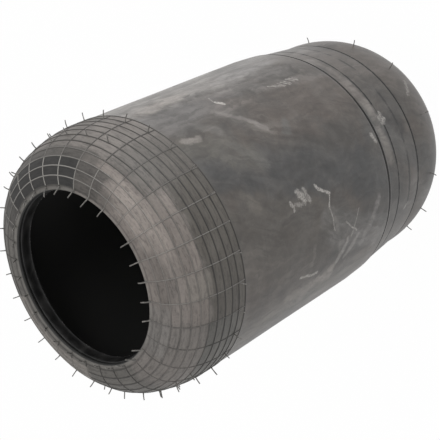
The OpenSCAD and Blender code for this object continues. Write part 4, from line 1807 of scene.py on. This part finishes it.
@dataclass
class CoverSkin:
    """The moulded cover: one closed shell, revolved from its outline."""

    form: Bellows
    columns: int = 240
    path_r: float = 100.0
    ridge: tuple[tuple[float, float], ...] = (
        (-0.85, 0.0), (-0.6, 0.1), (-0.42, 0.45), (-0.26, 0.85), (-0.1, 1.0), (0.1, 1.0), (0.26, 0.85),
        (0.42, 0.45), (0.6, 0.1), (0.85, 0.0),
    )

    lip: Steps = (
        (0.0, 2.3, 0.0), (-0.1, 1.9, 0.5), (-0.9, 1.5, 1.0), (-0.9, 1.1, 1.0),
        (-0.1, 0.7, 0.5), (-0.02, 0.4, 0.3), (-0.12, 0.12, 0.5), (-0.35, 0.0, 0.8),
    )
    crack: Steps = (
        (0.0, 0.05, 1.0), (-0.9, 0.1, 1.0), (-1.1, 0.5, 1.0),
        (-0.95, 1.1, 1.0), (-0.3, 1.7, 0.8), (0.0, 1.9, 0.3),
    )

    def outline(self) -> Outline:
        """The cover's closed outline, down the outside and back up the inside.

        Returns:
            The outline.
        """
        form, top, bottom = self.form, self.form.top, self.form.bottom
        outline = Outline()
        pitch = form.ring_pitch
        nose = top.nose_c[0]
        for raw, point in zip(top.cover_edge(), top.placed(top.cover_edge())):
            outline.add(point, -(nose - raw[0] + raw[1]) / pitch)
        for share in (0.35, 0.7):
            outline.add(np.array([nose - 3.1 * (1 - share), HEIGHT]), -3.1 * (1 - share) / pitch)
        self._shoulder(outline, pitch)
        self._sleeve(outline, pitch)
        self._tail(outline)
        inside = bottom.placed(bottom.cover_inside()) + form.taper(top.layers.cover_t)[::-1]
        inside += top.placed(top.cover_inside())[::-1]
        for point in inside:
            outline.add(point, 2.0 * RING_COUNT)
        return outline

    def _shoulder(self, outline: Outline, pitch: float) -> None:
        """Adds the ringed shoulder, from the nose to the last ring."""
        top = self.form.top
        for ring in range(RING_COUNT + 1):
            if ring > 0:
                for across, up in self.ridge:
                    run = ring * pitch + across
                    outline.add(top.placed([top.on_skin(run, up * self.form.ring_h)])[0], run / pitch, up)
            else:
                outline.add(top.placed([top.on_skin(0.0)])[0], 0.0)
            if ring < RING_COUNT:
                for step in range(1, 7):
                    run = (ring + step / 7) * pitch
                    outline.add(top.placed([top.on_skin(run)])[0], run / pitch)

    def _sleeve(self, outline: Outline, pitch: float) -> None:
        """Adds the plain sleeve down to the moulded step.

        Args:
            outline: The outline that takes the points.
            pitch: Distance from ring to ring in millimetres.
        """
        form = self.form
        first = HEIGHT - form.top.crown_c[1] - form.land
        bend = form.step_h + form.taper_up
        rows = [(SLEEVE_R, first + (bend - first) * row / 24, 0.0) for row in range(1, 25)]
        for row in range(1, 9):
            share = row / 9
            rows.append((SLEEVE_R - form.narrow * share, bend - form.taper_up * share, 0.0))
        edge = form.step_r + form.step_w
        for out, up, deep in self.lip:
            rows.append((edge + out, form.step_h + up, -deep))
        for radius, height, relief in rows:
            outline.add(np.array([radius, height]), RING_COUNT + (first - height) / pitch, relief)
        for out, down, deep in self.crack:
            outline.add(np.array([form.step_r + out, form.step_h - down]), RING_COUNT + 30.0, -deep)

    def _tail(self, outline: Outline) -> None:
        """Adds the tail with its two mould lines, and the lower shoulder.

        Args:
            outline: The outline that takes the points.
        """
        form, bottom = self.form, self.form.bottom
        upper_line, lower_line = form.lines
        far = RING_COUNT + 30.0
        start = form.step_h - 2.6
        groove = ((1.1, 0.0), (0.6, 0.06), (0.3, 0.8), (0.0, 1.0), (-0.3, 0.8), (-0.6, 0.06), (-1.1, 0.0))
        for line, depth in ((upper_line, 0.3), (lower_line, 0.75)):
            for row in range(7):
                height = start + (line + 1.6 - start) * row / 6
                outline.add(np.array([form.tail_r(height), height]), far)
            for up, deep in groove:
                radius = form.tail_r(line + up) - deep * depth
                outline.add(np.array([radius, line + up]), far, -deep)
            start = line - 1.6
        for point in bottom.placed(bottom.skin_arc(0, 90, 0.0, 44)):
            outline.add(point, far)
        for point in bottom.placed(bottom.cover_edge())[::-1]:
            outline.add(point, far)

    @staticmethod
    def _relax(mesh: Mesh) -> None:
        """Gives the soft sleeve the slight unevenness of a moulding that lies free.

        Args:
            mesh: The cover's mesh, which is changed in place.
        """
        place = MeshWork.coordinates(mesh)
        turn = np.arctan2(place[:, 1], place[:, 0])
        up = place[:, 2] / MM
        window = np.clip((up - 150) / 25, 0, 1) * np.clip((366 - up) / 25, 0, 1)
        swell = 0.16 * np.sin(2 * turn + up / 47) + 0.1 * np.sin(5 * turn - up / 31 + 1.3)
        swell += 0.05 * np.sin(9 * turn + up / 19 + 0.4)
        radius = np.hypot(place[:, 0], place[:, 1])
        share = 1 + swell * window * MM / np.maximum(radius, 0.05)
        place[:, 0] *= share
        place[:, 1] *= share
        mesh.vertices.foreach_set("co", place.astype(np.float32).ravel())

    def build(self, revolve: RevolveRecipe, finish: Material) -> Piece:
        """Revolves, relaxes and measures the cover.

        Args:
            revolve: The recipe that turns an outline round the axis.
            finish: The cover's material.

        Returns:
            The cover.
        """
        piece = revolve.sweep("cover_skin", self.outline(), self.path_r, self.columns, finish)
        self._relax(piece.data)
        return MeshWork.close(piece, 50.0)


@dataclass
class MouldRibs:
    """The ribs that run down the upper shoulder from the lip to the last ring."""

    form: Bellows
    steps: int = 84
    sides: int = 10

    def path(self) -> Mesh:
        """The line that one rib follows, with its place along the mould.

        Returns:
            The line as a mesh of points and edges.
        """
        top, pitch = self.form.top, self.form.ring_pitch
        rows = [(top.nose_c[0] - 2.6, 0.0, -2.6 / pitch), (top.nose_c[0] - 1.3, 0.0, -1.3 / pitch)]
        for step in range(self.steps + 1):
            run = self.form.shoulder_len * step / self.steps
            radius, depth = top.on_skin(run)
            rows.append((radius, depth, run / pitch))
        mesh = bpy.data.meshes.new("rib_path")
        points = [(radius * MM, 0.0, (HEIGHT - depth) * MM) for radius, depth, _ in rows]
        mesh.from_pydata(points, [(i, i + 1) for i in range(len(points) - 1)], [])
        along = mesh.attributes.new(ALONG, "FLOAT", "POINT")
        along.data.foreach_set("value", [row[2] for row in rows])
        return mesh

    def build(self, finish: Material) -> Piece:
        """Sweeps and repeats the rib."""
        values = {
            "Count": RIB_COUNT, "Width": self.form.rib_w * MM, "Height": self.form.rib_h * MM,
            "Sides": self.sides, "Finish": finish,
        }
        return MeshWork.close(RibRecipe().make("mould_ribs", self.path(), values), 70.0)


@dataclass
class WallLayers:
    """The plies and the liner under the cover, each a closed shell."""

    form: Bellows
    columns: int = 160
    path_r: float = 100.0

    def _face(self, fold: float, inmost: float | None) -> list[np.ndarray]:
        """One face of a layer from the upper bead to the lower one.

        Args:
            fold: Radius of the face round the bead core.
            inmost: The same radius for the ply's inner face, or None for the liner.

        Returns:
            The points, each as radius and height.
        """
        top, bottom = self.form.top, self.form.bottom
        sunk = fold - top.layers.wall_shift
        if inmost is None:
            upper, lower = top.liner_face(fold), bottom.liner_face(fold)
        else:
            upper, lower = top.ply_face(fold, inmost), bottom.ply_face(fold, inmost)
        return top.placed(upper) + self._wall_rows(sunk) + bottom.placed(lower)[::-1]

    def _wall_rows(self, sunk: float) -> list[np.ndarray]:
        """Rows down the straight wall and its taper.

        Args:
            sunk: Depth of the face under the skin.

        Returns:
            The points, each as radius and height.
        """
        upper, middle, lower = self.form.taper(sunk)
        rows = [np.array([upper[0], height]) for height in np.linspace(380, upper[1], 22)]
        rows += [upper + (middle - upper) * i / 4 for i in range(1, 5)]
        return rows + [middle + (lower - middle) * i / 6 for i in range(1, 7)]

    def build(
        self, name: str, folds: tuple[float, float], turned_up: bool, revolve: RevolveRecipe,
        finish: Material,
    ) -> Piece:
        """Revolves one layer.

        Args:
            name: Name of the piece.
            folds: Inner and outer radius round the core.
            turned_up: Whether the layer is folded up round the cores, as a ply is.
            revolve: The recipe that sweeps an outline.
            finish: The layer's material.

        Returns:
            The piece.
        """
        inmost = folds[0] if turned_up else None
        outline = Outline.through(self._face(folds[0], inmost) + self._face(folds[1], inmost)[::-1])
        return MeshWork.close(revolve.sweep(name, outline, self.path_r, self.columns, finish), 50.0)


@dataclass
class BeadSeat:
    """The chafer of one bead, with the specks of flash along its toe."""

    end: BeadEnd
    columns: int = 200
    speck_count: int = 150
    speck_r: float = 0.4

    def build(self, name: str, revolve: RevolveRecipe, finish: Material) -> Piece:
        """Revolves the chafer."""
        outline = Outline.through(self.end.placed(self.end.chafer()))
        return MeshWork.close(revolve.sweep(name, outline, self.end.seat_r, self.columns, finish), 55.0)

    def specks(self, name: str, studs: StudRecipe, seed: int, finish: Material) -> Piece:
        """Sets small rubber specks along the toe.

        Args:
            name: Name of the piece.
            studs: The recipe that sets domes on points.
            seed: Seed of the random choice.
            finish: The specks' material.

        Returns:
            The piece.
        """
        depth = self.end.core_c[1] + self.end.layers.seat_off - self.end.toe_r - 0.45
        radius, height = self.end.placed([np.array([self.end.seat_r - 0.35, depth])])[0] * MM
        turns = [2 * math.pi * i / self.speck_count for i in range(self.speck_count)]
        mesh = bpy.data.meshes.new(name + "_points")
        mesh.from_pydata([(radius * math.cos(a), radius * math.sin(a), height) for a in turns], [], [])
        values = {"Radius": self.speck_r * MM, "Share": 0.4, "Seed": seed, "Finish": finish}
        return MeshWork.close(studs.make(name, mesh, values))


@dataclass(frozen=True)
class WhiskerRoot:
    """Where a whisker stands, which way it points and which way it droops."""

    place: Vector
    stand: Vector
    droop: Vector


@dataclass
class VentWhiskers:
    """The rubber threads that the mould's vents leave behind."""

    form: Bellows
    length: float = 8.0
    tip_d: float = 1.0
    root_d: float = 1.5
    sink: float = 0.25

    def on_shoulder(self, ring: float, around: float) -> WhiskerRoot:
        """A root on a ring of the upper shoulder, at a place in ribs round.

        Args:
            ring: Place along the skin, in rings from the nose.
            around: Place round the axis, in ribs.

        Returns:
            The root, with its place and lean.
        """
        top = self.form.top
        run = ring * self.form.ring_pitch
        radius, depth = top.on_skin(run, self.form.ring_h - self.sink)
        tilt = math.radians(max(0.0, top.angle_at(run)))
        turn = Matrix.Rotation(math.radians(around * RIB_STEP), 3, "Z")
        place = turn @ Vector((radius * MM, 0.0, (HEIGHT - depth) * MM))
        stand = turn @ Vector((math.cos(tilt), 0.0, math.sin(tilt)))
        return WhiskerRoot(place, stand, Vector((0.0, 0.0, -0.12)))

    def on_lip(self, around: float) -> WhiskerRoot:
        """A root on the flat lip, leaning over the bore.

        Args:
            around: Place round the axis, in ribs.

        Returns:
            The root, with its place and lean.
        """
        turn = Matrix.Rotation(math.radians(around * RIB_STEP), 3, "Z")
        radius = self.form.top.nose_c[0] - 1.4
        place = turn @ Vector((radius * MM, 0.0, (HEIGHT + self.form.rib_h - self.sink) * MM))
        lean = math.radians(30)
        stand = turn @ Vector((-math.sin(lean), 0.0, math.cos(lean)))
        return WhiskerRoot(place, stand, turn @ Vector((-0.1, 0.0, -0.08)))

    def on_tail(self, degrees: float) -> WhiskerRoot:
        """A root on the lower shoulder.

        Args:
            degrees: Place round the axis.

        Returns:
            The root, with its place and lean.
        """
        bottom = self.form.bottom
        tilt = math.asin((bottom.crown_c[1] - 54.0) / bottom.crown_r)
        point = bottom.skin(math.degrees(tilt), self.sink)
        turn = Matrix.Rotation(math.radians(degrees), 3, "Z")
        place = turn @ Vector((point[0] * MM, 0.0, point[1] * MM))
        stand = turn @ Vector((math.cos(tilt), 0.0, -math.sin(tilt)))
        return WhiskerRoot(place, stand, Vector((0.0, 0.0, 0.1)))

    def build(
        self, name: str, roots: list[WhiskerRoot], recipe: WhiskerRecipe, seed: int, finish: Material
    ) -> Piece:
        """Grows the whiskers of one set.

        Args:
            name: Name of the piece.
            roots: Where the whiskers stand.
            recipe: The recipe that grows a thread on each point.
            seed: Seed of the lengths and bends.
            finish: The whiskers' material.

        Returns:
            The piece.
        """
        mesh = bpy.data.meshes.new(name + "_roots")
        mesh.from_pydata([tuple(root.place) for root in roots], [], [])
        for label, vectors in (("stand", [r.stand for r in roots]), ("droop", [r.droop for r in roots])):
            layer = mesh.attributes.new(label, "FLOAT_VECTOR", "POINT")
            layer.data.foreach_set("vector", [part for vector in vectors for part in vector])
        values = {
            "Length": self.length * MM, "Shortest": 0.82, "Tip Radius": self.tip_d / 2 * MM,
            "Root Radius": self.root_d / 2 * MM, "Bend": 0.14, "Seed": seed, "Finish": finish,
        }
        return MeshWork.close(recipe.make(name, mesh, values), 80.0)


@dataclass
class Studio:
    """The pale floor, the lamps, the world and the camera."""

    aim: tuple[float, float, float] = (-0.0099, -0.0047, 0.2660)
    eye: tuple[float, float, float] = (0.33646, -0.74192, 1.03173)
    ahead: tuple[float, float, float] = (-0.31014, 0.65922, -0.68500)
    image_up: tuple[float, float, float] = (0.93604, 0.08519, -0.34142)
    lens: float = 94.50
    sensor: float = 36.0
    world_light: float = 0.55
    floor_side: float = 24.0
    floor_white: float = 0.985

    def camera(self) -> None:
        """Sets the camera to the photographed angle."""
        data = bpy.data.cameras.new("photo_angle")
        data.lens = self.lens
        data.sensor_width = self.sensor
        data.clip_end = 50.0
        camera = linked("photo_angle", data)
        back = -Vector(self.ahead).normalized()
        up = Vector(self.image_up).normalized()
        right = up.cross(back).normalized()
        turn = Matrix((right, back.cross(right), back)).transposed()
        camera.matrix_world = Matrix.Translation(Vector(self.eye)) @ turn.to_4x4()
        bpy.context.scene.camera = camera

    def lamp(self, name: str, direction: Vector, distance: float, size: float, power: float) -> None:
        """Adds a soft area lamp aimed at the bellows.

        Args:
            name: Name of the lamp.
            direction: Direction from the bellows to the lamp.
            distance: Distance in metres.
            size: Side of the lamp in metres.
            power: Power in watts.
        """
        data = bpy.data.lights.new(name, "AREA")
        data.shape = "DISK"
        data.size = size
        data.energy = power
        lamp = linked(name, data)
        target = Vector(self.aim)
        place = target + direction.normalized() * distance
        lamp.location = place
        lamp.rotation_euler = (target - place).to_track_quat("-Z", "Y").to_euler()

    def lamps(self) -> None:
        """Places the lamps by the camera's own axes."""
        up, ahead = Vector(self.image_up), Vector(self.ahead)
        right = ahead.cross(up)
        self.lamp("key_from_image_top", up - ahead * 0.45 + right * 0.1, 1.5, 0.9, 14.0)
        self.lamp("fill_from_camera", -ahead + up * 0.25 - right * 0.7, 1.9, 1.4, 10.0)
        self.lamp("low_fill", -up * 0.8 - ahead * 0.6, 1.6, 1.0, 4.0)

    def floor(self) -> None:
        """Adds the pale floor, which the camera and the gloss see as white."""
        mesh = bpy.data.meshes.new("pale_floor")
        side = self.floor_side / 2
        corners = [(-side, -side, 0.0), (side, -side, 0.0), (side, side, 0.0), (-side, side, 0.0)]
        mesh.from_pydata(corners, [], [(0, 1, 2, 3)])
        floor = linked("pale_floor", mesh)
        material, brush, shader = new_material("pale_floor")
        shader.inputs["Base Color"].default_value = tone(232, 232, 232)
        shader.inputs["Roughness"].default_value = 0.9
        glow = brush.add("ShaderNodeEmission", {"Color": WHITE, "Strength": 1.0})
        rays = brush.add("ShaderNodeLightPath").outputs
        seen = brush.maths("MAXIMUM", rays["Is Camera Ray"], rays["Is Glossy Ray"])
        seen = brush.maths("MAXIMUM", seen, rays["Is Transmission Ray"])
        share = brush.times(seen, self.floor_white)
        inputs = {0: share, 1: shader.outputs[0], 2: glow.outputs[0]}
        blend = brush.add("ShaderNodeMixShader", inputs)
        output = next(node for node in material.node_tree.nodes if node.type == "OUTPUT_MATERIAL")
        brush.feed(output.inputs["Surface"], blend.outputs[0])
        mesh.materials.append(material)

    def world(self) -> None:
        """Lights the scene evenly from a white world."""
        world = bpy.data.worlds.new("white_room")
        world.use_nodes = True
        bpy.context.scene.world = world
        world.node_tree.nodes.clear()
        brush = Brush(world.node_tree)
        rays = brush.add("ShaderNodeLightPath").outputs
        strength = brush.lerp(rays["Is Camera Ray"], self.world_light, 1.0)
        inputs = {"Color": WHITE, "Strength": strength}
        glow = brush.add("ShaderNodeBackground", inputs)
        brush.add("ShaderNodeOutputWorld", {"Surface": glow.outputs[0]})

    def build(self) -> None:
        """Sets up the whole studio."""
        bpy.context.scene.view_settings.view_transform = "Standard"
        self.camera()
        self.lamps()
        self.floor()
        self.world()


class Assembly:
    """Builds the pieces in order and ties the rigid ones to their bodies."""

    BEND_START = (0.0, 0.0, 0.152)
    BEND_END = (0.0, 0.0, 0.366)

    def __init__(self, frame: dict) -> None:
        """Keeps the frame and builds what the pieces share.
        """
        self.frame = frame
        self.form = Bellows()
        self.finishes = Finishes(self.form.ring_pitch)
        self.revolve = RevolveRecipe()
        self.studs = StudRecipe()

    def settle(self, piece: Piece, body: Body | None, nodes: tuple[str, ...] = ()) -> Piece:
        """Rides a piece on its body, or bakes its transform for a piece that rides on neither.

        Args:
            piece: The finished piece.
            body: The body, or None for a piece that rides on neither body.
            nodes: The CAD nodes that the piece stands for.

        Returns:
            The same piece.
        """
        if nodes:
            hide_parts(*nodes)
        if body is None:
            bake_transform(piece)
        else:
            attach(piece, body.value)
        triangles = sum(len(polygon.vertices) - 2 for polygon in piece.data.polygons)
        LOG.info("%s: %d triangles on %s", piece.name, triangles, body.value if body else "both bodies")
        return piece

    def cover(self) -> None:
        """Builds the cover and its ribs."""
        skin = CoverSkin(self.form).build(self.revolve, self.finishes.cover)
        self.settle(skin, None, ("outer_cover",))
        ribs = MouldRibs(self.form).build(self.finishes.ribs)
        self.settle(ribs, Body.UPPER)

    def wall(self) -> None:
        """Builds the plies and the liner."""
        layers = self.form.top.layers
        wall = WallLayers(self.form)
        finishes = self.finishes
        outer, inner = (layers.outer_in, layers.outer_out), (layers.inner_in, layers.inner_out)
        liner = (layers.liner_in, layers.liner_out)
        for name, node, folds, slot, finish in (
            ("outer_cord_ply", "outer_ply", outer, Slot.PLY, finishes.outer_ply),
            ("inner_cord_ply", "inner_ply", inner, Slot.PLY, finishes.inner_ply),
            ("liner_skin", "inner_liner", liner, Slot.LINER, finishes.liner),
        ):
            piece = wall.build(name, folds, slot is Slot.PLY, self.revolve, finish)
            self.settle(piece, None, (node,))

    def seats(self) -> None:
        """Builds the chafer of each bead and its specks of flash."""
        for name, end, body, seed in (
            ("top", self.form.top, Body.UPPER, 5), ("bottom", self.form.bottom, Body.WALL, 6),
        ):
            seat = BeadSeat(end)
            piece = seat.build(name + "_seat", self.revolve, self.finishes.chafer)
            self.settle(piece, body, (name + "_chafer",))
            specks = seat.specks(name + "_toe_specks", self.studs, seed, self.finishes.whisker)
            self.settle(specks, body)

    def whiskers(self) -> None:
        """Grows each set of whiskers, where the part's source has them."""
        grower, thick = VentWhiskers(self.form), VentWhiskers(self.form, 9.4, 1.25, 1.8)
        recipe = WhiskerRecipe()
        crown = [(5, i) for i in (*range(1, 5), *range(14, 19))]
        crown += [(6, i + 0.5) for i in range(-2, 1)] + [(6, i - 0.5) for i in range(17, 20)]
        tail = (11, 35, 62, 90, 113, 140, 164, 192, 220, 235, 257, 289, 318, 342)
        sets = {
            "lip_whiskers": [grower.on_lip(i) for i in range(RIB_COUNT) if i not in (20, 26)],
            "nose_whiskers": [grower.on_shoulder(3, i) for i in range(3, 16)],
            "crown_whiskers": [grower.on_shoulder(ring, i) for ring, i in crown],
            "edge_whiskers": [grower.on_shoulder(10, i) for i in range(RIB_COUNT)],
            "tail_whiskers": [grower.on_tail(angle) for angle in tail],
        }
        for seed, (node, roots) in enumerate(sets.items(), start=3):
            maker = thick if node == "lip_whiskers" else grower
            name = node.replace("whiskers", "threads")
            piece = maker.build(name, roots, recipe, seed, self.finishes.whisker)
            body = Body.WALL if node == "tail_whiskers" else Body.UPPER
            self.settle(piece, body, (node,))

    def bead_parts(self) -> None:
        """Dresses the bead parts that keep their CAD meshes."""
        finishes = {
            "bead_core": self.finishes.wire, "core_wrap": self.finishes.wrap,
            "bead_filler": self.finishes.filler,
        }
        for end in ("top", "bottom"):
            for part, finish in finishes.items():
                node = self.frame["nodes"][f"{end}_{part}"]
                for slot in node.material_slots:
                    slot.material = finish
                LOG.info("%s: CAD mesh with its own finish", node.name)

    def build(self) -> None:
        """Builds every sub-assembly."""
        self.cover()
        self.wall()
        self.seats()
        self.whiskers()
        self.bead_parts()


def corners(box: tuple) -> list[list[float]]:
    """A box's two corners as plain lists of numbers."""
    return [[float(value) for value in corner] for corner in box]


def main() -> None:
    """Loads the frame, sets up the studio and builds the bellows."""
    logging.basicConfig(level=logging.INFO, format="%(name)s: %(message)s")
    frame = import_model()
    Studio().build()
    Assembly(frame).build()


if __name__ == "__main__":
    main()
